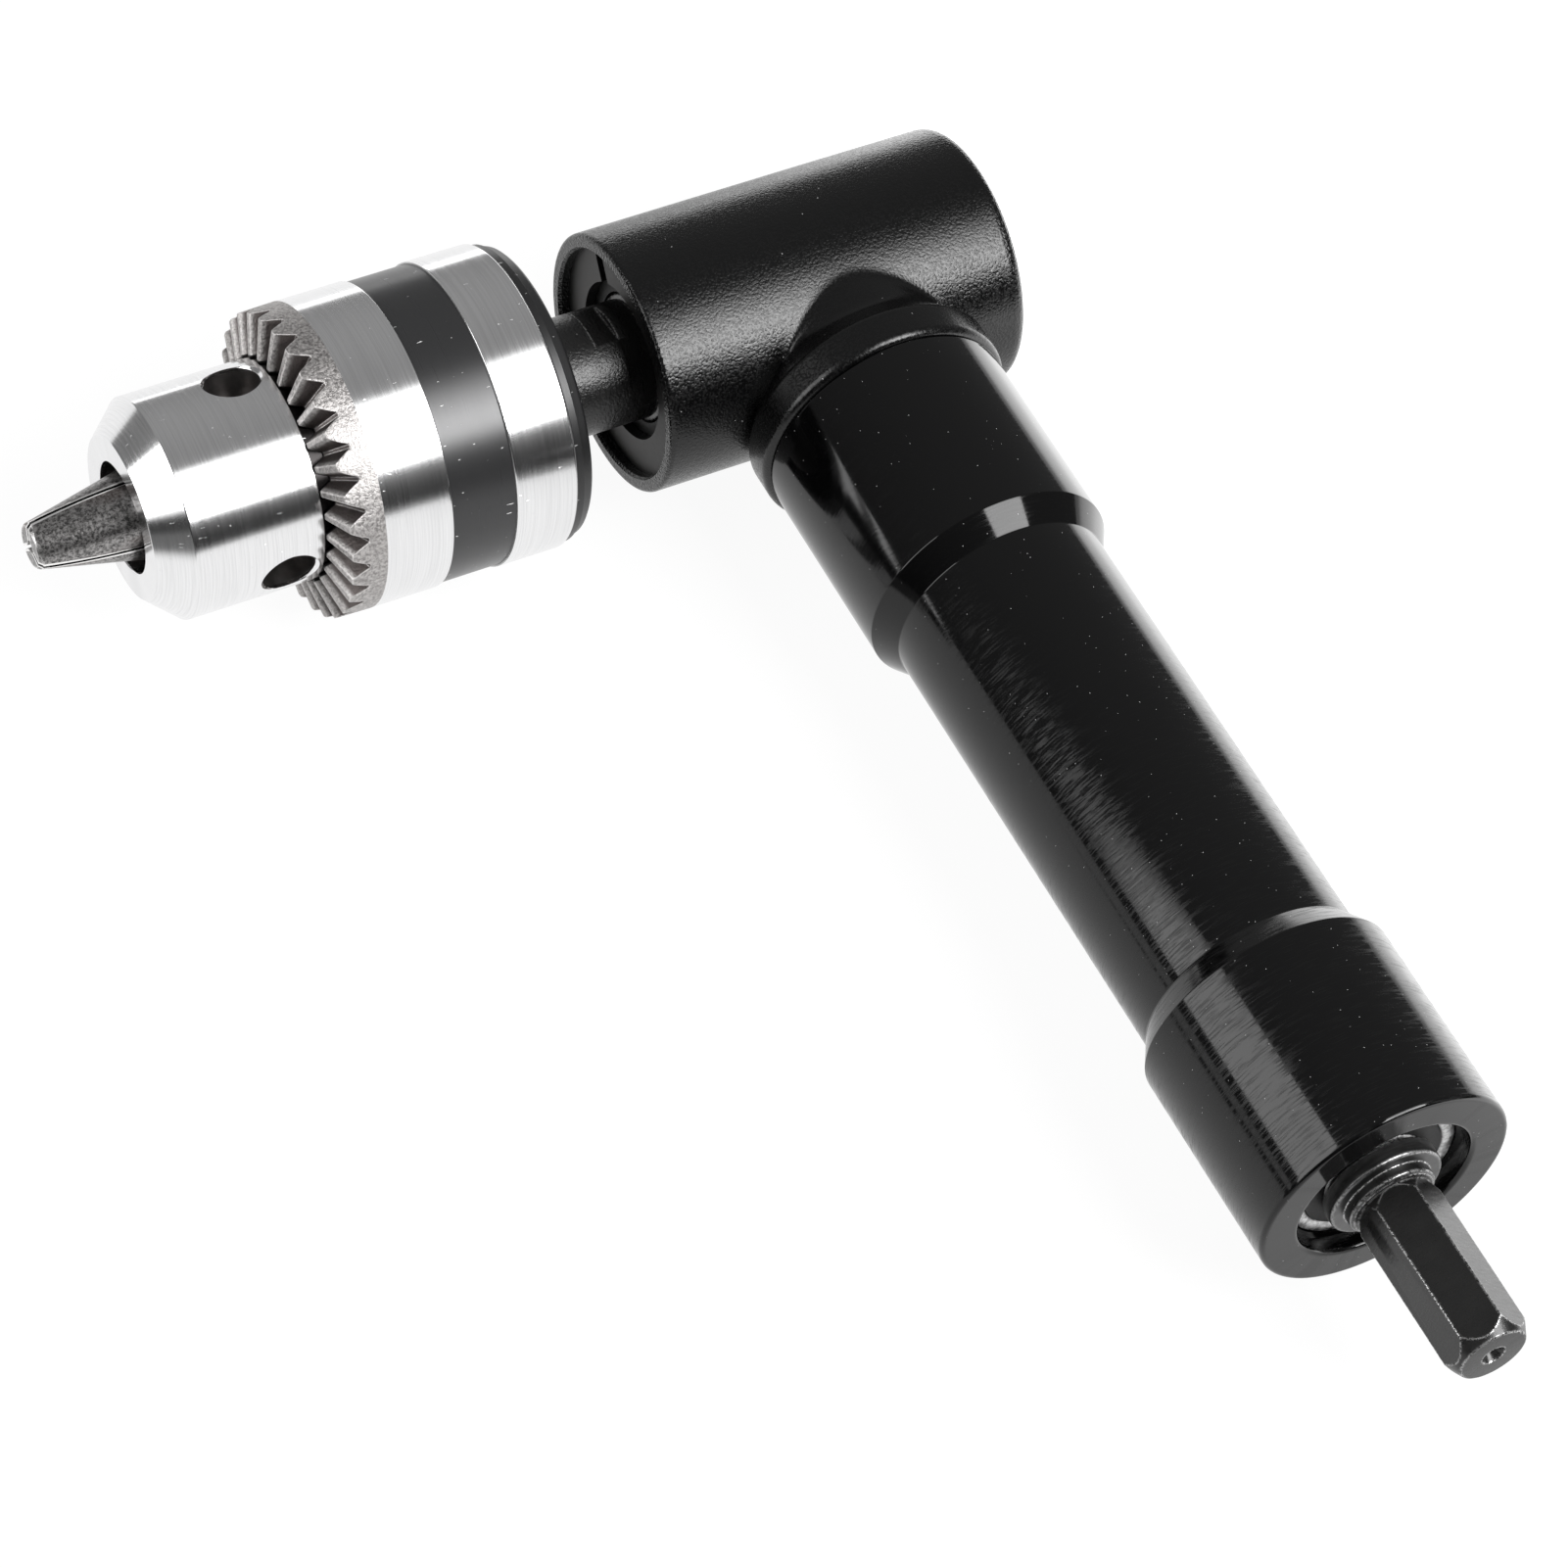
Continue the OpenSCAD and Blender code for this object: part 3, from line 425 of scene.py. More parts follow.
def castBlack(s):
    paint = Paint("castBlackEnamel")
    radius, _, _ = paint.roundX()
    neck = paint.past(radius, s["turned"])  # the neck was turned, the barrel was left as cast
    pebbles, waves = paint.noise(paint.spot, *s["pebbles"]), paint.noise(paint.spot, *s["waves"])
    colour = paint.blend(paint.specks(*s["specks"]), s["black"], s["dust"])
    rough = s["rough"] + neck * s["roughNeck"] + s["roughPebbles"] * paint.step(pebbles, *s["pebbleStep"])
    skin = paint.bumps((pebbles * (1 - neck * s["calmPebbles"]), s["pebbleHeight"]),
                       (waves * (1 - neck * s["calmWaves"]), s["waveHeight"]))
    return paint.finish(colour, rough, 0.0, skin, s["index"])


turnedLooks = dict(
    black=(0.0012, 0.0012, 0.0013), dust=0.42, specks=(1500, 0.085, 0.3), lines=(0.22, 5.0, 2), slow=(1.7, 1.0),
    lineStep=(0.43, 0.65), lineHeight=0.0035, slowHeight=0.001, worn=(-110, -60), rough=0.07, roughNew=0.05,
    roughWorn=0.17, index=1.43)


def turnedBlack(s):
    paint = Paint("turnedBlackEnamel")
    lines, slow = paint.turnLines("Y", *s["lines"]), paint.turnLines("Y", *s["slow"])
    colour = paint.blend(paint.specks(*s["specks"]), s["black"], s["dust"])
    # the brush lines show most where hands rub, towards the shank
    rubbed = s["roughNew"] + s["roughWorn"] * paint.past(paint.y, s["worn"])
    rough = s["rough"] + rubbed * paint.step(lines, *s["lineStep"])
    skin = paint.bumps((lines, s["lineHeight"]), (slow, s["slowHeight"]))
    return paint.finish(colour, rough, 0.0, skin, s["index"])


oxideLooks = dict(
    dark=(0.003, 0.003, 0.0031), brown=(0.011, 0.0108, 0.0105), blotch=(330, 3), bareDark=0.04, bareLight=0.17,
    dust=0.35, specks=(1500, 0.08, 0.07), edge=0.62, edges=(0.3, 18), ragged=(3400, 2), raggedStep=(0.40, 0.54),
    raggedHeight=dict(X=0.07, Y=0.012), lines=(0.25, 3.0, 3), soft=0.05, rough=0.22, roughLines=0.14,
    roughBare=0.08, lineHeight=0.014, metal=0.03, metalBare=0.95)


def oxideBlack(s, name, axis, disc=None):
    # disc is where a disc that was ground bare starts and ends along the axis
    paint = Paint(name)
    ragged, lines = paint.noise(paint.spot, *s["ragged"]), paint.turnLines(axis, *s["lines"])
    worn = paint.edges(*s["edges"]) * paint.step(ragged, *s["raggedStep"])
    bare = 0.0
    if disc:
        along, soft = paint.x if axis == "X" else paint.y, s["soft"]
        bare = paint.past(along, (disc[0] - soft, disc[0])) * (1 - paint.past(along, (disc[1], disc[1] + soft)))
    colour = paint.layers(
        paint.blend(paint.noise(paint.spot, *s["blotch"]), s["dark"], s["brown"]),
        (bare, paint.blend(lines, s["bareDark"], s["bareLight"])),
        (paint.specks(*s["specks"]), s["dust"]), (worn, s["edge"]))
    rough = s["rough"] + s["roughLines"] * lines + bare * s["roughBare"]
    metal = s["metal"] + (worn + bare).clamped() * s["metalBare"]
    skin = paint.bumps((lines, s["lineHeight"]), (ragged, s["raggedHeight"][axis]))
    return paint.finish(colour, rough, metal, skin)


# What the two ground rings share: turned lines, slow waves and a few straight scratches
groundLooks = dict(
    dark=(0.79, 0.79, 0.795), light=(0.87, 0.87, 0.875), scratch=0.9, lines=(0.13, 1.5, 3), slow=(1.6, 1.0),
    lineStep=(0.3, 0.66), lineHeight=0.004, slowHeight=0.01, roughLines=0.10, scratchAlong=900, scratchLean=9,
    scratchRound=70, scratchDrift=90, scratchStep=(0.765, 0.785), scratchDepth=0.008)


def groundLines(paint):
    s = groundLooks
    lines, slow = paint.turnLines("X", *s["lines"]), paint.turnLines("X", *s["slow"])
    return lines, slow, paint.blend(paint.step(lines, *s["lineStep"]), s["dark"], s["light"])


def scratched(paint, normal):
    s, (_, first, second) = groundLooks, paint.roundX()
    spot = paint.vector(paint.x * s["scratchAlong"] + first * s["scratchLean"],
                        first * s["scratchRound"] - paint.x * s["scratchDrift"], second * s["scratchRound"])
    line = paint.step(paint.noise(spot, 1.0, 1), *s["scratchStep"])
    return line, paint.bump(1 - line, s["scratchDepth"], normal)


bodyLooks = dict(
    oilDark=(0.14, 0.132, 0.13), oilLight=(0.34, 0.325, 0.32), oil=(900, 3), pit=0.3, pitShare=0.7,
    specks=(1300, 0.09, 0.05), pocket=(11.9, 12.05), pocketEnd=(77.5, 78.2), seam=(0.015, 0.014, 0.014),
    seamOut=(11.6, 11.8), seamPast=(0.04, 0.2), rough=0.10, roughPocket=0.2)


def groundSteel(s):
    paint = Paint("groundSteel")
    radius, _, _ = paint.roundX()
    lines, slow, bright = groundLines(paint)
    # inside the nose and the bores the steel is dull and oily
    pocket = (1 - paint.past(radius, s["pocket"])) * (1 - paint.past(paint.x, s["pocketEnd"]))
    oiled = paint.blend(paint.noise(paint.spot, *s["oil"]), s["oilDark"], s["oilLight"])
    # a dark line painted on the nose just in front of the sleeve: painted shade of the narrow gap between them
    seamShadeEnd = [sleeveHigh.x + past for past in s["seamPast"]]
    seam = paint.past(radius, s["seamOut"]) * (1 - paint.past(paint.x, seamShadeEnd))
    rough = s["rough"] + groundLooks["roughLines"] * lines + pocket * s["roughPocket"]
    skin = paint.bumps((lines, groundLooks["lineHeight"]), (slow, groundLooks["slowHeight"]))
    line, skin = scratched(paint, skin)
    colour = paint.layers(
        bright, (paint.specks(*s["specks"]) * s["pitShare"], s["pit"]), (pocket, oiled), (seam, s["seam"]),
        (line * (1 - pocket), groundLooks["scratch"]))
    return paint.finish(colour, rough, 1.0, skin)


sleeveLooks = dict(
    toothDark=(0.27, 0.257, 0.252), toothLight=(0.6, 0.58, 0.57), valleyDark=(0.055, 0.047, 0.045),
    valleyLight=(0.17, 0.15, 0.145), valley=(0.08, 0.7), outside=(16.98, 17.05), seam=(0.012, 0.011, 0.011),
    seamOut=(12.6, 12.8), edge=(0.93, 0.91, 0.90), edges=(0.2, 12), edgeShare=0.9, band=(0.026, 0.026, 0.027),
    rim=(0.014, 0.014, 0.0145), sparkle=(2900, 2, 0.7), sparkleStep=(0.3, 0.7), stain=(420, 2), soft=0.02,
    rimSoft=0.12, matteSoft=0.03, rough=0.11, roughMatte=0.44, roughSparkle=0.14, roughDark=0.25,
    roughDarkLines=0.08, roughRim=0.08, sparkleHeight=0.03, lessMetal=0.72, index=1.6)


def sleeveSteel(s, sizes):
    paint = Paint("groundSleeveSteel")
    radius, _, _ = paint.roundX()
    lines, slow, bright = groundLines(paint)

    def ahead(at, soft=s["soft"]):  # 1 in front of a place along the sleeve
        return paint.past(paint.x, (at - soft, at + soft))

    bandAt = sleeveLow.x + sizes["bandAt"]
    band = ahead(bandAt) * (1 - ahead(bandAt + sizes["bandWidth"]))
    rim = 1 - ahead(sleeveLow.x + sizes["rimLength"] - s["rimSoft"], s["rimSoft"])
    matte = ahead(sleeveHigh.x - sizes["matteLength"], s["matteSoft"])
    dark, fine = (band + rim).clamped(), 1 - matte
    sparkle = paint.step(paint.noise(paint.spot, *s["sparkle"]), *s["sparkleStep"])
    stain = paint.noise(paint.spot, *s["stain"])
    # depth under the cone that the teeth's tips lie on, so the valleys can take a painted shade
    slope = sizes["frontRise"] / (sizes["radius"] - sizes["taper"] - sizes["mouth"])
    depth = (sleeveHigh.x - (radius * (1 / mm) - sizes["mouth"]) * slope) - paint.x * (1 / mm)
    # the valley mask paints shade into the deep tooth gaps; the stain noise only mottles it
    valley = paint.step(depth, *s["valley"]) * (1 - paint.past(radius, s["outside"]))
    # the teeth's inner ends by the bore take the same painted shade of the gap between sleeve and nose
    seam = 1 - paint.past(radius, s["seamOut"])
    toothed = paint.layers(paint.blend(sparkle, s["toothDark"], s["toothLight"]),
                           (valley, paint.blend(stain, s["valleyDark"], s["valleyLight"])), (seam, s["seam"]))
    rough = (s["rough"] + groundLooks["roughLines"] * lines) * fine \
        + matte * (s["roughMatte"] + s["roughSparkle"] * sparkle)
    rough = rough * (1 - dark) + dark * (s["roughDark"] + s["roughDarkLines"] * lines) + rim * s["roughRim"]
    line, skin = scratched(paint, paint.bumps(
        (lines * fine, groundLooks["lineHeight"]), (slow * fine, groundLooks["slowHeight"]),
        (sparkle * matte, s["sparkleHeight"])))
    worn = paint.edges(*s["edges"]) * matte * (1 - seam) * s["edgeShare"]
    colour = paint.layers(bright, (matte, toothed), (worn, s["edge"]), (band, s["band"]), (rim, s["rim"]),
                          (line * fine, groundLooks["scratch"]))
    return paint.finish(colour, rough, 1 - dark * s["lessMetal"], skin, s["index"])


# streaks are (scale along x, scale across it, detail)
jawLooks = dict(
    dark=(0.075, 0.073, 0.072), light=(0.4, 0.39, 0.385), grit=(2600, 3, 0.75), gritStep=(0.36, 0.66),
    grain=(0.5, 0.485, 0.475), grainStreaks=(260, 4200, 3), grainStep=(0.5, 0.7), grainShare=0.3,
    stain=(0.2, 0.15, 0.135), stainStreaks=(40, 260, 1), stainStep=(0.52, 0.64), stainShare=0.5,
    # bright is a painted highlight beside each slit, slit is a painted shade inside it
    bright=(0.98, 0.97, 0.96), brightHalf=(0.4, 0.5), slit=0.02, slitHalf=(0.2, 0.215), slitOut=(0.3, 0.6),
    tip=(0.95, 0.94, 0.93), tipBack=(1.2, 0.9), edges=(0.32, 10), rough=0.24, roughGrit=0.16, metal=0.95,
    grainHeight=0.006, gritHeight=0.02)


def jawSteel(s, jawTurn):
    paint = Paint("hardenedJawSteel")
    grain, stain = paint.streaks(*s["grainStreaks"]), paint.streaks(*s["stainStreaks"])
    grit = paint.noise(paint.spot, *s["grit"])
    colour = paint.layers(
        paint.blend(paint.step(grit, *s["gritStep"]), s["dark"], s["light"]),
        (paint.step(grain, *s["grainStep"]) * s["grainShare"], s["grain"]),
        (paint.step(stain, *s["stainStep"]) * s["stainShare"], s["stain"]))
    side = paint.y - cross.y
    for turn in (60, 180, 300):  # the slits between the jaws: painted shade inside, a painted highlight along the edge
        turn = math.radians(jawTurn + turn)
        across = (side * math.sin(turn) - paint.z * math.cos(turn)).math("ABSOLUTE")
        outside = paint.past(side * math.cos(turn) + paint.z * math.sin(turn), s["slitOut"])
        for shade in ("bright", "slit"):
            colour = paint.blend((1 - paint.past(across, s[shade + "Half"])) * outside, colour, s[shade])
    nearTip = paint.past(paint.x, [tipAt - back for back in s["tipBack"]])
    colour = paint.blend(paint.edges(*s["edges"]) * nearTip, colour, s["tip"])
    skin = paint.bumps((grain, s["grainHeight"]), (grit, s["gritHeight"]))
    return paint.finish(colour, s["rough"] + s["roughGrit"] * grit, s["metal"], skin)


gearLooks = dict(
    steel=(0.44, 0.43, 0.41), grease=(0.30, 0.24, 0.14), stain=(180, 2), stainStep=(0.45, 0.7),
    lines=(0.3, 3.0), rough=0.24, roughLines=0.2, lessMetal=0.4, lineHeight=0.01, coat=0.5)


def gearSteel(s, axis):
    paint = Paint("gearSteel" + axis)
    lines = paint.turnLines(axis, *s["lines"])
    grease = paint.step(paint.noise(paint.spot, *s["stain"]), *s["stainStep"])
    colour = paint.blend(grease, s["steel"], s["grease"])
    return paint.finish(colour, s["rough"] + s["roughLines"] * lines, 1.0 - grease * s["lessMetal"],
                        paint.bump(lines, s["lineHeight"]), coat=grease * s["coat"])


# dark, light and roughness: the X rings inside the head are painted darker, a painted shade; the Y rings are bare
# and bright
ringLooks = dict(
    X=(0.05, 0.14, 0.24), Y=(0.38, 0.85, 0.42), lines=(0.2, 2.0), mottle=(1100, 3, 0.7),
    mottleStep=(0.35, 0.65), roughMottle=0.14, height=0.01)


def bearingSteel(s, axis):
    paint, (dark, light, rough) = Paint("bearingSteel" + axis), s[axis]
    lines = paint.turnLines(axis, *s["lines"])
    mottle = paint.step(paint.noise(paint.spot, *s["mottle"]), *s["mottleStep"])
    return paint.finish(paint.blend(mottle, dark, light), rough + s["roughMottle"] * mottle, 1.0,
                        paint.bump(mottle + lines, s["height"]))


# rough is the least and what the grain adds
plainLooks = dict(
    stampedSpringSteel=dict(dark=(0.022, 0.021, 0.021), light=(0.06, 0.059, 0.058), grain=(1800, 3),
                            rough=(0.36, 0.15), metal=0.95, height=0.01),
    polishedBallSteel=dict(dark=(0.72, 0.72, 0.725), light=0.8, grain=(700, 2), rough=(0.05, 0.06),
                           metal=1.0, height=None),
    pressedCageBrass=dict(dark=(0.62, 0.44, 0.2), light=(0.76, 0.58, 0.3), grain=(900, 3),
                          rough=(0.25, 0.2), metal=1.0, height=0.01),
    sealRubber=dict(dark=0.012, light=0.028, grain=(2200, 3), rough=(0.5, 0.2), metal=0.0, height=0.012))


def plainFinish(name):  # one grain changes colour, roughness and height alike
    s, paint = plainLooks[name], Paint(name)
    grain, (least, more) = paint.noise(paint.spot, *s["grain"]), s["rough"]
    skin = paint.bump(grain, s["height"]) if s["height"] else None
    return paint.finish(paint.blend(grain, s["dark"], s["light"]), least + more * grain, s["metal"], skin)


# Pieces

bodies = {n: b for b, members in frame["record"]["behaviour"]["bodies"].items() for n in members}


def hand(piece, material, node):  # the piece takes over its CAD node's body and gets the given material; the node is hidden
    piece.data.materials.clear()
    piece.data.materials.append(material)
    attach(piece, bodies[node])
    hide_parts(node)
    print("made", piece.name, len(piece.data.polygons), "faces")


headSizes = dict(
    backRound=1.6, rimRound=0.5, neckRadius=12.557, flareAt=12.484, flareEnd=15.484, flareIn=2.6, flareOut=0.9,
    ringRadius=14.75, ringRound=0.9, cavityRadius=11.607, neckBore=11.007, pocketFloor=0.2, spigotFit=12.32,
    spigotAt=14.584, mouthDepth=0.35, mouthRound=0.2, mouthPast=0.3, mouthFlare=0.5, saddleRound=0.45,
    saddleFrom=2, saddleZone=1.3, saddlePasses=5)


def makeHead(s):
    radius = headHigh.z
    piece = turned("headBarrel", [
        (headLow.x, 0), (headLow.x, radius, s["backRound"]), (headHigh.x, radius, s["rimRound"]),
        (headHigh.x, 0)], aroundX, steps=288, longest=0.55)
    neck = turned("neckSolid", [
        (0, 0), (0, s["neckRadius"]), (s["flareAt"], s["neckRadius"], s["flareIn"]),
        (s["flareEnd"], s["ringRadius"], s["flareOut"]), (headHigh.y, s["ringRadius"], s["ringRound"]),
        (headHigh.y, 0)], aroundY, steps=256, longest=0.55)
    combine(piece, neck, "UNION")
    fillSaddle(piece, s)
    rearSeat, seat, groove = rearHigh.z + fit, frontHigh.z + fit, ringHigh.z + fit
    floor, mouth = rearLow.x - s["pocketFloor"], headHigh.x + s["mouthPast"]
    combine(piece, turned("headBore", [
        (floor, 0), (floor, rearSeat), (rearHigh.x, rearSeat), (rearHigh.x, s["cavityRadius"]),
        (frontLow.x, s["cavityRadius"]), (frontLow.x, seat), (frontHigh.x, seat), (frontHigh.x, groove),
        (ringHigh.x + fit, groove), (ringHigh.x + fit, seat),
        (headHigh.x - s["mouthDepth"], seat, s["mouthRound"]), (mouth, seat + s["mouthFlare"]),
        (mouth + s["mouthPast"], 0)], aroundX, steps=256))
    combine(piece, turned("neckBore", [
        (0, 0), (0, s["neckBore"]), (s["spigotAt"], s["neckBore"]), (s["spigotAt"], s["spigotFit"]),
        (headHigh.y + 1, s["spigotFit"]), (headHigh.y + 1, 0)], aroundY, steps=192))
    return smooth(outward(piece))


def fillSaddle(piece, s):
    # lifts the valley between two crossing cylinders onto a small concave round
    rounding, origin = s["saddleRound"], np.array(cross)
    points = np.empty(len(piece.data.vertices) * 3)
    piece.data.vertices.foreach_get("co", points)
    points = (points.reshape(-1, 3) - origin) / mm
    for _ in range(s["saddlePasses"]):
        x, y, z = points[:, 0], points[:, 1], points[:, 2]
        onHead, onNeck = np.hypot(y, z), np.hypot(x, z)
        inHead, inNeck = rounding + headHigh.z - onHead, rounding + s["neckRadius"] - onNeck
        near = (y > s["saddleFrom"]) & (y < s["flareAt"]) \
            & (np.minimum(inHead, inNeck) > 0) & (np.maximum(inHead, inNeck) < s["saddleZone"])
        pick = np.flatnonzero(near)
        x, y, z, onHead, onNeck, inHead, inNeck = (v[pick] for v in (x, y, z, onHead, onNeck, inHead, inNeck))
        size = np.hypot(inHead, inNeck)
        slope = np.stack([inNeck * x / onNeck, inHead * y / onHead,
                          (inHead / onHead + inNeck / onNeck) * z], 1) / size[:, None]
        points[pick] += slope * ((size - rounding) / (slope ** 2).sum(1))[:, None]
    points = points * mm + origin
    piece.data.vertices.foreach_set("co", points.astype(np.float32).ravel())
    piece.data.update()


handleSizes = dict(
    spigotRadius=12.3, gripRadius=14.15, gripEnd=43.284, tubeStart=46.184, tubeRadius=12.4, tubeEnd=100.384,
    collarStart=103.484, collarRadius=14.25, mouthRadius=9.9, boreRadius=8.0, lip=0.5, edge=0.22,
    startRound=0.3)


def makeHandle(s):
    seat = collarHigh.z + fit
    return smooth(turned("handleBarrel", [
        (handleLow.y, seat), (handleLow.y, s["spigotRadius"], s["startRound"]), (headHigh.y, s["spigotRadius"]),
        (headHigh.y, s["gripRadius"], s["startRound"]), (s["gripEnd"], s["gripRadius"], s["edge"]),
        (s["tubeStart"], s["tubeRadius"], s["edge"]), (s["tubeEnd"], s["tubeRadius"], s["edge"]),
        (s["collarStart"], s["collarRadius"], s["edge"]), (handleHigh.y, s["collarRadius"], s["lip"]),
        (handleHigh.y, s["mouthRadius"], s["lip"]), (collarHigh.y, s["mouthRadius"]), (collarHigh.y, seat),
        (collarLow.y, seat), (collarLow.y, s["boreRadius"]), (pinionHigh.y, s["boreRadius"]),
        (pinionHigh.y, seat)], aroundY, closed=True, steps=256))


spindleSizes = dict(
    tailRadius=4, tailRound=0.3, seatRadius=4.5, coneAt=6.232, coneEnd=6.532, clipAt=6.832, gearAt=7.652,
    clipRadius=4.2, journal=5, radius=6.75, shoulderRound=0.2, threadRadius=4.74, threadChamfer=0.6,
    flatHalf=6.0, flatAt=24.584, flatWidth=2.8, flatTurn=100, wear=0.06)


def makeSpindle(s):
    piece = turned("spindleShaft", [
        (spindleLow.x, 0), (spindleLow.x, s["tailRadius"], s["tailRound"]), (s["coneAt"], s["tailRadius"]),
        (s["coneEnd"], s["seatRadius"]), (s["clipAt"], s["seatRadius"]), (s["clipAt"], s["clipRadius"]),
        (s["gearAt"], s["clipRadius"]), (s["gearAt"], s["seatRadius"]), (frontLow.x, s["seatRadius"]),
        (frontLow.x, s["journal"]), (frontHigh.x, s["journal"]), (frontHigh.x, s["radius"], s["shoulderRound"]),
        (bodyLow.x, s["radius"]), (bodyLow.x, s["threadRadius"]),
        (spindleHigh.x - s["threadChamfer"], s["threadRadius"]),
        (spindleHigh.x, s["threadRadius"] - s["threadChamfer"]), (spindleHigh.x, 0)], aroundX)
    block = 2 * s["radius"]
    flats = prism("flats", [(s["flatHalf"], -block), (s["flatHalf"] + block, -block),
                            (s["flatHalf"] + block, block), (s["flatHalf"], block)],
                  s["flatAt"], s["flatAt"] + s["flatWidth"], flatX)
    combine(piece, ringed(flats, 2, s["flatTurn"]))
    return smooth(softEdges(outward(piece), s["wear"]))


shaftSizes = dict(
    seatRadius=3.5, seatRound=0.3, clipAt=6.832, gearAt=7.652, clipRadius=3.2, journal=4, journalClip=3.7,
    clipWidth=0.82, neckRadius=5.2, discRadius=6.4, discAt=125.584, discEnd=127.584, discFront=0.2,
    discBack=0.35, stepRadius=4.919, stepRound=0.1, stepBack=0.25, stepFall=0.4, stepBend=0.3, hexAt=128.934,
    hexHalf=4.0, hexTurn=50, hexInside=0.3, rampLength=2.1, rampRound=0.6, endRadius=3.72, endRound=0.25,
    cornerRound=0.16, centreRadius=1.25, pilotRadius=0.6, pilotTip=0.3, drillPast=0.5, drillFlare=1.01)


def makeShaft(s):
    clipEnd = pinionHigh.y + s["clipWidth"]
    piece = turned("inputShaftBar", [
        (shaftLow.y, 0), (shaftLow.y, s["seatRadius"], s["seatRound"]), (s["clipAt"], s["seatRadius"]),
        (s["clipAt"], s["clipRadius"]), (s["gearAt"], s["clipRadius"]), (s["gearAt"], s["seatRadius"]),
        (pinionLow.y, s["seatRadius"]), (pinionLow.y, s["journal"]), (pinionHigh.y, s["journal"]),
        (pinionHigh.y, s["journalClip"]), (clipEnd, s["journalClip"]), (clipEnd, s["journal"]),
        (collarHigh.y, s["journal"]), (collarHigh.y, s["neckRadius"]), (s["discAt"], s["neckRadius"]),
        (s["discAt"], s["discRadius"], s["discFront"]), (s["discEnd"], s["discRadius"], s["discBack"]),
        (s["discEnd"], s["stepRadius"], s["stepRound"]),
        (s["hexAt"] - s["stepBack"], s["stepRadius"], s["stepBend"]),
        (s["hexAt"], s["stepRadius"] - s["stepFall"]), (s["hexAt"], 0)], aroundY)
    outline, half = [], 30  # half is half of one corner's turn, in degrees
    inner = (s["hexHalf"] - s["cornerRound"]) / math.cos(math.radians(half))
    for k in range(6):
        middle = math.radians(s["hexTurn"] + 2 * half * k)
        for bend in range(-half, half + 1, 12):
            away = middle + math.radians(bend)
            outline.append((inner * math.sin(middle) + s["cornerRound"] * math.sin(away),
                            inner * math.cos(middle) + s["cornerRound"] * math.cos(away)))
    hexBar = prism("hexBar", outline, s["hexAt"] - s["hexInside"], shaftHigh.y, flatY)
    chamfer, start = s["stepRadius"] - s["endRadius"], s["hexAt"] - s["stepFall"]
    envelope = turned("hexEnvelope", [
        (start, 0), (start, s["hexHalf"]), (s["hexAt"], s["hexHalf"]),
        (s["hexAt"] + s["rampLength"], s["stepRadius"], s["rampRound"]),
        (shaftHigh.y - 2 * chamfer, s["stepRadius"], s["rampRound"]),
        (shaftHigh.y, s["endRadius"], s["endRound"]), (shaftHigh.y, 0)], aroundY)
    combine(hexBar, envelope, "INTERSECT")
    combine(piece, hexBar, "UNION")
    pilot, past = shaftHigh.y - 3 * s["centreRadius"], shaftHigh.y + s["drillPast"]
    drill = turned("centreDrill", [
        (pilot, 0), (pilot + s["pilotTip"], s["pilotRadius"]),
        (shaftHigh.y - s["centreRadius"], s["pilotRadius"]), (past, s["pilotRadius"] + s["drillFlare"]),
        (past, 0)], aroundY, steps=64)
    combine(piece, drill)
    return smooth(outward(piece), 24)


chuckSizes = dict(
    flangeRadius=15.44, flangeRound=0.3, grooveRadius=9.8, nutGap=0.1, radius=12.4, coneLength=3.5,
    coneRound=0.18, faceRadius=9.15, faceRound=0.16, holeRadius=6.2, holeRound=0.25, holeDepth=8, bitRadius=5.4,
    threadRadius=4.76, threadLength=12.5, keyAt=67.684, keyRadius=3.0, keyDepth=4.0, keyChamfer=0.35,
    keyRound=0.12, keyTurn=110, jawTurn=50, jawBore=3.56, boreLength=68, jawRadius=3.5, jawLength=36.5,
    jawRound=0.3, jawWear=0.07, tipRadius=2.3, tipEdge=0.35, tipSlope=1.4, slope=13.504, slit=0.4, land=0.4,
    out=10.4, clear=34.0, past=5)


def jawRod(name, s, radius, before, behind, steps=96):
    # a slanting rod: along runs back from the jaw's tip, turn goes round the rod
    slope, middle = math.radians(s["slope"]), s["tipRadius"] - s["jawRadius"]

    def where(along, across, turn):
        rise = across * math.cos(turn)
        return cross + Vector((tipAt - along * math.cos(slope) + rise * math.sin(slope),
                               middle + along * math.sin(slope) + rise * math.cos(slope),
                               across * math.sin(turn))) * mm

    return turned(name, [(-before, 0), (-before, radius), (behind, radius, s["jawRound"]), (behind, 0)],
                  where, steps=steps)


def makeChuckBody(s):
    noseAt, thread = bodyHigh.x, bodyLow.x + s["threadLength"]
    nutBack, nutFront, hole = nutLow.x - s["nutGap"], nutHigh.x + s["nutGap"], noseAt - s["holeDepth"]
    piece = turned("chuckNose", [
        (bodyLow.x, s["threadRadius"]), (bodyLow.x, s["flangeRadius"], s["flangeRound"]),
        (nutBack, s["flangeRadius"]), (nutBack, s["grooveRadius"]), (nutFront, s["grooveRadius"]),
        (nutFront, s["radius"]), (noseAt - s["coneLength"], s["radius"], s["coneRound"]),
        (noseAt, s["faceRadius"], s["faceRound"]), (noseAt, s["holeRadius"], s["holeRound"]),
        (hole, s["holeRadius"]), (hole, s["bitRadius"]), (thread, s["bitRadius"]), (thread, s["threadRadius"])],
        aroundX, closed=True, steps=288, longest=0.6)
    bores = ringed(jawRod("jawBores", s, s["jawBore"], 0, s["boreLength"]), 3, s["jawTurn"])
    combine(piece, bores, solver="EXACT")
    combine(piece, ringed(keyHole(s), 3, s["keyTurn"]))
    return smooth(outward(piece), 28)


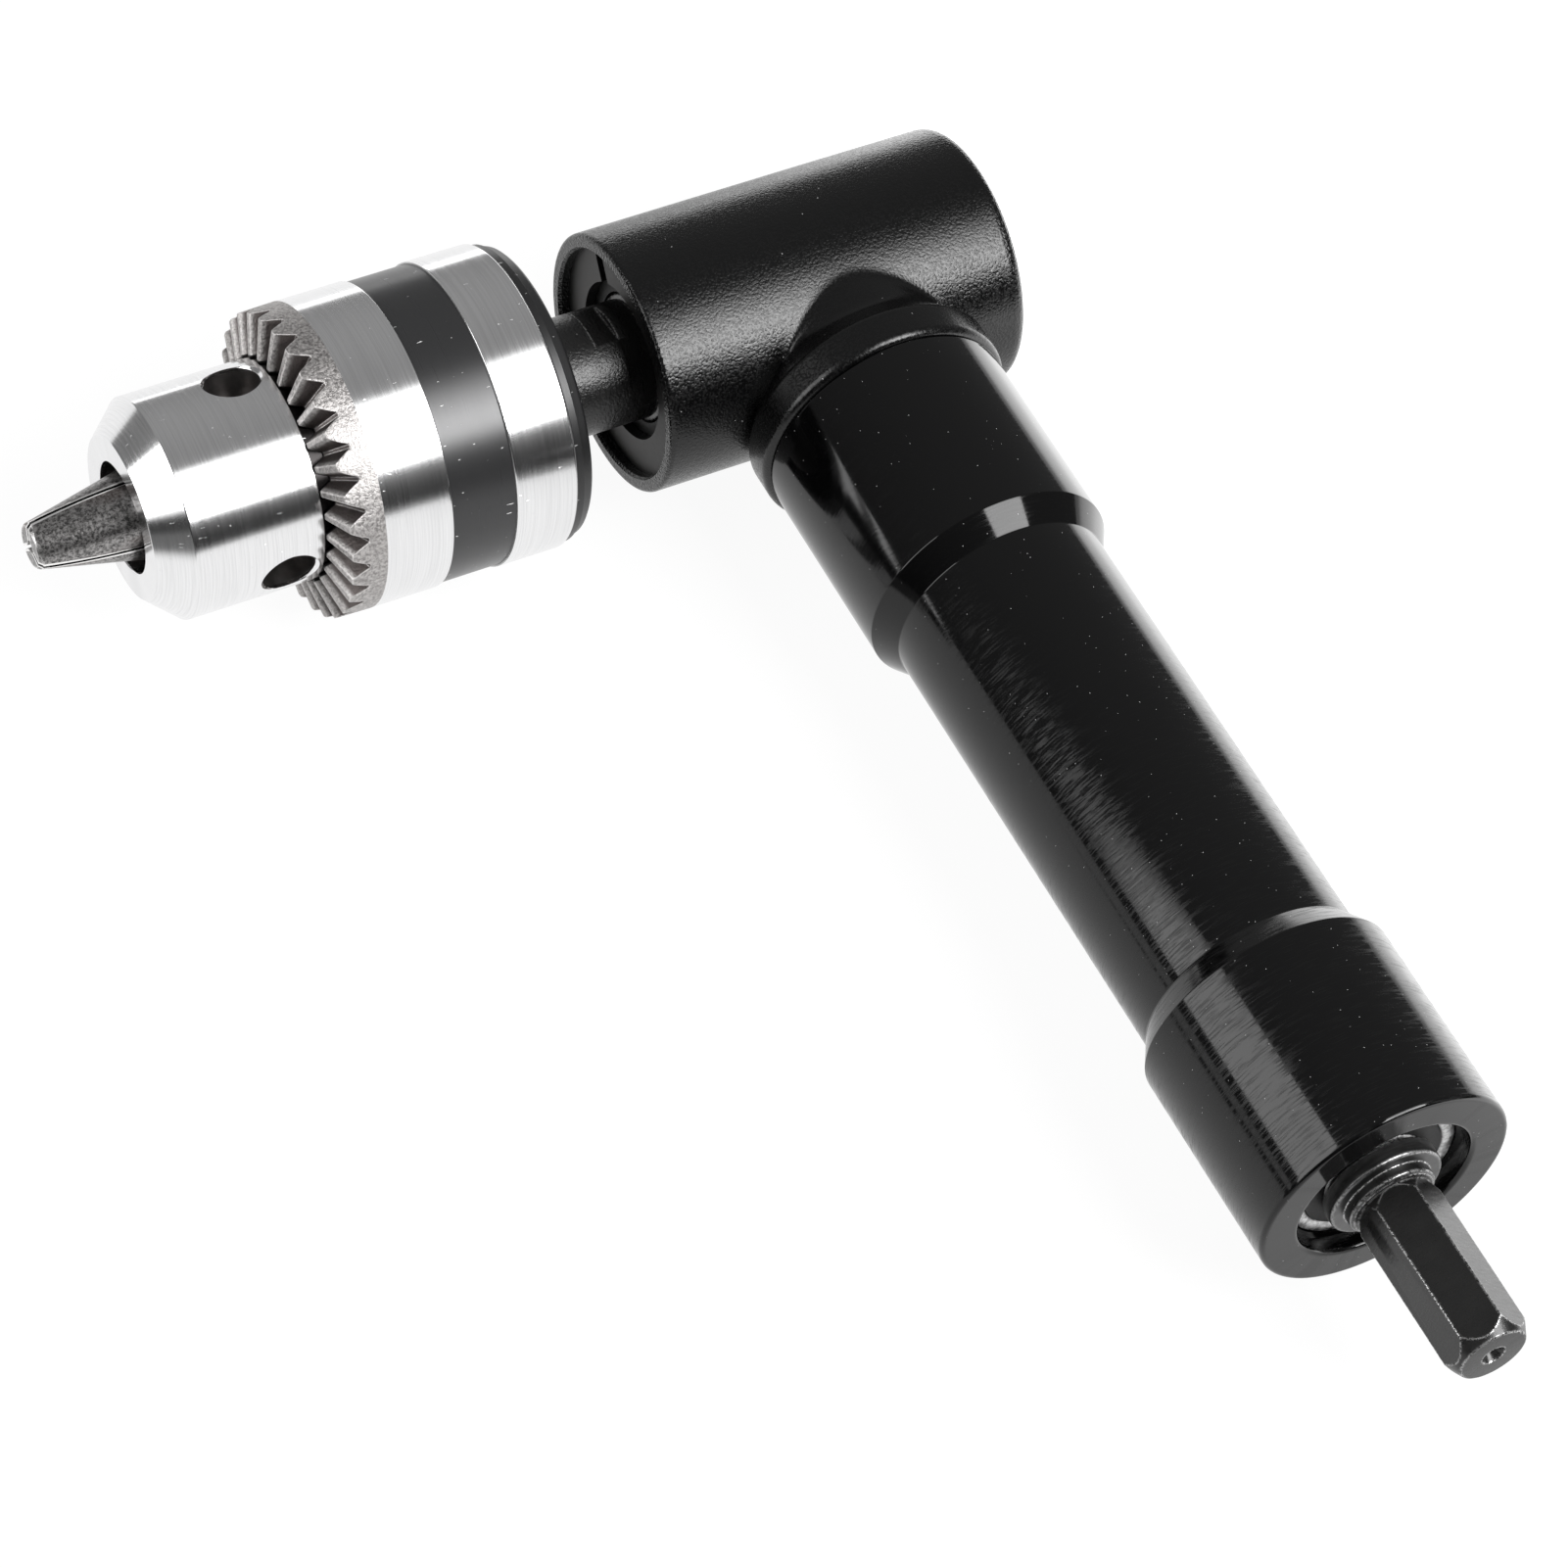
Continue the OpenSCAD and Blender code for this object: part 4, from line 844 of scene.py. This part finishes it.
def keyHole(s):
    # a drilled hole square to the spindle's axis, with a chamfered mouth
    def where(along, radius, turn):
        return cross + Vector((s["keyAt"] + radius * math.cos(turn), along, radius * math.sin(turn))) * mm

    edge, radius, skin = s["keyChamfer"], s["keyRadius"], s["radius"]
    return turned("keyHoles", [
        (skin - s["keyDepth"], 0), (skin - s["keyDepth"], radius), (skin - edge, radius, s["keyRound"]),
        (skin + 2 * edge, radius + 3 * edge), (skin + 2 * edge, 0)], where, steps=128, longest=0.5)


def makeJaw(s, index):
    rod = jawRod("jaw" + "ABC"[index], s, s["jawRadius"], s["jawRadius"], s["jawLength"])
    third = math.radians(60)  # each jaw fills 60 degrees to either side of its middle
    start, wide, steep = s["slit"] / 2 / math.sin(third), s["clear"], math.tan(third)
    wedge = prism("wedge", [(s["land"] + start, s["land"] * steep), (wide + start, wide * steep),
                            (wide + start, -wide * steep), (s["land"] + start, -s["land"] * steep)],
                  0, tipAt + s["past"], flatX)
    combine(rod, wedge, "INTERSECT")
    edge = s["tipEdge"]
    envelope = turned("tipEnvelope", [
        (0, 0), (0, wide), (tipAt - s["out"], wide), (tipAt - 2 * edge, s["tipRadius"] + s["tipSlope"]),
        (tipAt - edge, s["tipRadius"] + edge), (tipAt, s["tipRadius"]), (tipAt, 0)], aroundX, steps=128)
    combine(rod, envelope, "INTERSECT")
    softEdges(outward(rod), s["jawWear"], 30)
    turn = Matrix.Rotation(math.radians(s["jawTurn"] + 120 * index), 4, "X")
    rod.data.transform(Matrix.Translation(cross) @ turn @ Matrix.Translation(-cross))
    return smooth(rod, 34)


# rimSteps are (distance from the back, depth under the ring's radius, rounding)
sleeveSizes = dict(
    bore=15.5, mouth=12.46, radius=17.2, rimLength=2.4, rimEdge=0.12,
    rimSteps=((0, 1.2, 0.2), (0.3, 0.84, 0), (1.32, 0.48, 0.15), (1.32, 0.36, 0), (2.1, 0.3, 0)), bandAt=9.4,
    bandWidth=7.5, bandDepth=0.25, bandEdge=0.07, bandFoot=0.08, matteLength=5.0, taper=0.1, frontRise=1.0,
    crestEarly=1.07, teeth=30, firstGap=5, outerHeight=2.1, innerHeight=1.4, floorHalf=0.25, floorSoft=0.04,
    footSoft=0.05, flankLean=0.45, flankSwell=0.056, soft=0.16, edge=0.09, nutStop=0.02, columns=32, rows=16)


def softLow(a, b, soft):  # the lower of two heights, with a rounded change
    return min(a, b) - max(soft - abs(a - b), 0) ** 2 / (4 * soft)


def toothFront(s, radius, away):
    # how far forward the toothed face stands, away mm round from the middle of a gap
    share = (s["radius"] - s["taper"] - radius) / (s["radius"] - s["taper"] - s["mouth"])
    crest = sleeveHigh.x - s["frontRise"] * max(0, 1 - share * s["crestEarly"])
    valley = sleeveHigh.x - s["frontRise"] * (1 - share) - s["outerHeight"] \
        + share * (s["outerHeight"] - s["innerHeight"])
    reach = max(0, abs(away) - s["floorHalf"] + s["floorSoft"])
    lean, swell = s["flankLean"], s["flankSwell"]
    height = (math.sqrt(lean ** 2 + 4 * swell * reach) - lean) / (2 * swell)
    return softLow(crest, valley + math.hypot(height, s["footSoft"]), s["soft"])


def makeSleeve(s):
    # one tooth's wedge of the whole ring, copied round the axis and joined
    radius, back, front, edge = s["radius"], sleeveLow.x, sleeveHigh.x, s["edge"]
    matteAt, bandStart = front - s["matteLength"], back + s["bandAt"]
    bandEnd, bandRadius = back + (s["bandAt"] + s["bandWidth"]), radius - s["bandDepth"]
    stop, outer = nutHigh.x + s["nutStop"], radius - s["taper"]
    plain = spaced(rounded(
        [(stop, s["mouth"]), (stop, s["bore"]), (back, s["bore"])]
        + [(back + at, radius - under, bend) for at, under, bend in s["rimSteps"]]
        + [(back + s["rimLength"], radius, s["rimEdge"]), (bandStart, radius, s["bandEdge"]),
           (bandStart, bandRadius, s["bandFoot"]), (bandEnd, bandRadius, s["bandFoot"]),
           (bandEnd, radius, s["bandEdge"]), (matteAt, radius)], False, 3), False, 4)
    width = 2 * math.pi / s["teeth"]
    verts = []
    for column in range(s["columns"] + 1):
        turn = width * (column / s["columns"] - 0.5)
        verts += [aroundX(point.x, point.y, turn) for point in plain]
        top = toothFront(s, outer, outer * turn) - edge
        for share in (0.3, 0.6, 0.85, 1):
            verts.append(aroundX(matteAt + (top - matteAt) * share, radius - s["taper"] * share, turn))
        for share in (0.4, 0.75, 1):  # the rounded outer corner of the teeth
            bend = share * math.pi / 2
            at = outer - edge * (1 - math.cos(bend))
            verts.append(aroundX(toothFront(s, at, at * turn) - edge * (1 - math.sin(bend)), at, turn))
        for row in range(1, s["rows"] + 1):
            at = outer - edge + (s["mouth"] - outer + edge) * row / s["rows"]
            verts.append(aroundX(toothFront(s, at, at * turn), at, turn))
        end = toothFront(s, s["mouth"], s["mouth"] * turn)
        verts += [aroundX(end + (stop - end) * share, s["mouth"], turn) for share in (0.1, 0.5)]
    rows = len(verts) // (s["columns"] + 1)
    faces = [(c * rows + r, c * rows + (r + 1) % rows, (c + 1) * rows + (r + 1) % rows, (c + 1) * rows + r)
             for c in range(s["columns"]) for r in range(rows)]
    piece = newPiece("sleeveRing", verts, faces)
    return smooth(outward(ringed(piece, s["teeth"], s["firstGap"])), 40)


# each set of balls has its bearing's bore, a count and an axis
ballSizes = dict(
    share=0.29, segments=32, rings=20,
    sets=dict(front=(10, 7, "X"), rear=(8, 9, "X"), pinion=(8, 7, "Y"), collar=(8, 7, "Y")))


def makeBalls(s, name, bore, count, axis):
    low, high = span(name + "_bearing_outer")
    outside = high.z + fit
    pitch = (outside + bore / 2) / 2
    if axis == "X":
        centre, way = aroundX((low.x + high.x) / 2, pitch, 0), (1, 0, 0)
    else:
        centre, way = aroundY((low.y + high.y) / 2, pitch, 0), (0, 1, 0)
    piece = newPiece(name + "Balls", [], [])
    ball = bmesh.new()
    bmesh.ops.create_uvsphere(ball, u_segments=s["segments"], v_segments=s["rings"],
                              radius=s["share"] * (outside - bore / 2) * mm,
                              matrix=Matrix.Translation(centre))
    ball.to_mesh(piece.data)
    ball.free()
    return smooth(ringed(piece, count, 0, way), 60)


def refined(node, name):
    # a smooth copy of a CAD piece whose shape is right as it is
    copy = newPiece(name, [], [])
    copy.data = frame["nodes"][node].data.copy()
    copy.data.materials.clear()
    return smooth(outward(copy), 30)


disc = [cross.y / mm + shaftSizes[edge] for edge in ("discAt", "discEnd")]
hand(makeHead(headSizes), castBlack(castLooks), "head_housing")
hand(makeHandle(handleSizes), turnedBlack(turnedLooks), "handle_tube")
hand(makeSpindle(spindleSizes), oxideBlack(oxideLooks, "spindleOxide", "X"), "output_spindle")
hand(makeShaft(shaftSizes), oxideBlack(oxideLooks, "shaftOxide", "Y", disc), "input_shaft")
hand(makeChuckBody(chuckSizes), groundSteel(bodyLooks), "chuck_body")
hand(makeSleeve(sleeveSizes), sleeveSteel(sleeveLooks, sleeveSizes), "chuck_sleeve")
steelJaw = jawSteel(jawLooks, chuckSizes["jawTurn"])
for index in range(3):
    hand(makeJaw(chuckSizes, index), steelJaw, "jaw_%d" % (index + 1))

ballFinish = plainFinish("polishedBallSteel")
for name, (bore, count, axis) in ballSizes["sets"].items():
    hand(makeBalls(ballSizes, name, bore, count, axis), ballFinish, name + "_bearing_balls")

ringFinish = {axis: bearingSteel(ringLooks, axis) for axis in "XY"}
spring, rubber, brass = (plainFinish(n) for n in ("stampedSpringSteel", "sealRubber", "pressedCageBrass"))
gears = {axis: gearSteel(gearLooks, axis) for axis in "XY"}
pieceFinishes = {
    "head_retaining_ring": spring, "gear_retaining_ring": spring, "pinion_retaining_ring": spring,
    "shaft_retaining_ring": spring, "output_gear": gears["X"], "pinion_gear": gears["Y"],
    "gear_key": gears["X"], "pinion_key": gears["Y"], "jaw_nut_half_1": steelJaw, "jaw_nut_half_2": steelJaw,
    "front_bearing_seals": rubber, "collar_bearing_seals": rubber}
for name, (_, _, axis) in ballSizes["sets"].items():
    pieceFinishes[name + "_bearing_cage"] = brass
    for ring in ("outer", "inner"):
        pieceFinishes[name + "_bearing_" + ring] = ringFinish[axis]

for node, material in pieceFinishes.items():
    words = node.split("_")
    name = words[0] + "".join(w.capitalize() for w in words[1:])
    hand(refined(node, name), material, node)
print("all pieces dressed")


# Floor, light and camera, in metres

floorSizes = dict(
    half=6.0, paper=0.93, mix=0.92, near=0.97, farGain=1.7, farStart=0.015, farEnd=0.45, beside=(0.118, 0.16),
    behind=(-0.15, -0.12), front=(0.12, 0.2), endShare=0.95, seenLift=0.05)
keyLight = dict(
    direction=(-0.37, 0.50, 0.79), upright=(0, -0.82, 0.57), wide=0.55, tall=0.96, bright=16.2,
    fadeUp=(-0.08, 0.8), fadeDown=(-0.02, 0.2))
sideLight = dict(
    direction=(0.88, -0.075, 0.50), upright=(0, 0, 1), wide=0.845, tall=0.76, bright=3.9, fade=(0.0, 0.24))
roomSizes = dict(
    grey=0.11, risesUp=0.13, fallsX=0.05, fallsY=0.12, least=0.03, blur=0.02)
# the camera's right, up and back directions were fitted to the object's own circles
cameraSizes = dict(
    lens=131.75, sensor=36, clip=(0.05, 20), at=(0.241192, 0.208384, 0.471800),
    right=(-0.884944, 0.453810, 0.104546), up=(-0.307144, -0.737502, 0.601460),
    back=(0.350051, 0.500148, 0.792033))


def makeFloor(s):
    half, low = s["half"], cadBounds[0].z
    floor = newPiece("paleFloor", [(x * half, y * half, low) for x, y in ((-1, -1), (1, -1), (1, 1), (-1, 1))],
                     [(0, 1, 2, 3)])
    paint = Paint("paleFloorPaper")
    camera = paint.node("ShaderNodeLightPath", output="Is Camera Ray")
    seen = (camera + camera.output("Is Glossy Ray") + camera.output("Is Transmission Ray")).clamped()
    away, start, end = paint.x * -1, s["farStart"], s["farEnd"]
    far = paint.step(away, start, start * 4) * (1 - paint.step(away, end / 4, end))
    # in reflections only, the floor's glow is painted dimmer on the chuck's side and behind the camera; the camera
    # still sees white paper there
    beside = paint.step(paint.x, *s["beside"]) * paint.step(paint.y, *s["behind"])
    dimInReflections = (beside + paint.step(paint.y, *s["front"])).clamped() * (1 - camera)
    level = (s["near"] + s["farGain"] * far) * (1 - dimInReflections * s["endShare"]) + camera * s["seenLift"]
    paper = paint.node("ShaderNodeBsdfDiffuse", {}, {"Color": s["paper"]})
    white = paint.node("ShaderNodeEmission", {}, {"Color": paint.vector(level, level, level), "Strength": 1.0})
    lit = paint.node("ShaderNodeMixShader", {}, [seen * s["mix"], paper, white])
    below = paint.node("ShaderNodeNewGeometry", output="Backfacing")
    clear = paint.node("ShaderNodeBsdfTransparent")
    both = paint.node("ShaderNodeMixShader", {}, [below, lit, clear])
    paint.node("ShaderNodeOutputMaterial", {}, {"Surface": both})
    floor.data.materials.append(paint.material)


def softBox(name, s, shade):
    # a soft light one metre from the object; shade gives its brightness over its width and height
    light = bpy.data.lights.new(name, "AREA")
    light.shape, light.size, light.size_y = "RECTANGLE", s["wide"], s["tall"]
    light.energy = math.pi * s["wide"] * s["tall"] * s["bright"]
    glow = Shading(light, "UV")
    shine = glow.node("ShaderNodeEmission", {}, {"Color": 1, "Strength": shade(glow)})
    glow.node("ShaderNodeOutputLight", {}, {"Surface": shine})
    back = Vector(s["direction"]).normalized()
    side = Vector(s["upright"]).cross(back).normalized()
    middle = (cadBounds[0] + cadBounds[1]) / 2
    place(name, light, middle + back, (side, back.cross(side), back))


def makeWorld(s, below):
    world = bpy.data.worlds.new("studioRoom")
    bpy.context.scene.world = world
    sky = Shading(world, "Generated")
    grey = s["grey"] + sky.z * s["risesUp"] - sky.x * s["fallsX"] - sky.y * s["fallsY"]
    upper = sky.step(sky.z, -s["blur"], 0.0)
    level = grey.math("MAXIMUM", s["least"]) * upper + below * (1 - upper)
    light = sky.node("ShaderNodeBackground", {}, {"Color": 1, "Strength": level})
    sky.node("ShaderNodeOutputWorld", {}, {"Surface": light})


def makeCamera(s):
    lens = bpy.data.cameras.new("photoCamera")
    lens.lens, lens.sensor_width, lens.sensor_fit = s["lens"], s["sensor"], "AUTO"
    lens.clip_start, lens.clip_end = s["clip"]
    bpy.context.scene.camera = place("photoCamera", lens, s["at"], (s["right"], s["up"], s["back"]))


makeFloor(floorSizes)
softBox("keySoftBox", keyLight, lambda glow: glow.step(1 - glow.y, *keyLight["fadeUp"])
        * glow.step(glow.y, *keyLight["fadeDown"]))
softBox("sideSoftBox", sideLight, lambda glow: glow.step(1 - glow.x, *sideLight["fade"]))
makeWorld(roomSizes, floorSizes["near"])
makeCamera(cameraSizes)
bpy.context.scene.view_settings.view_transform = "Standard"
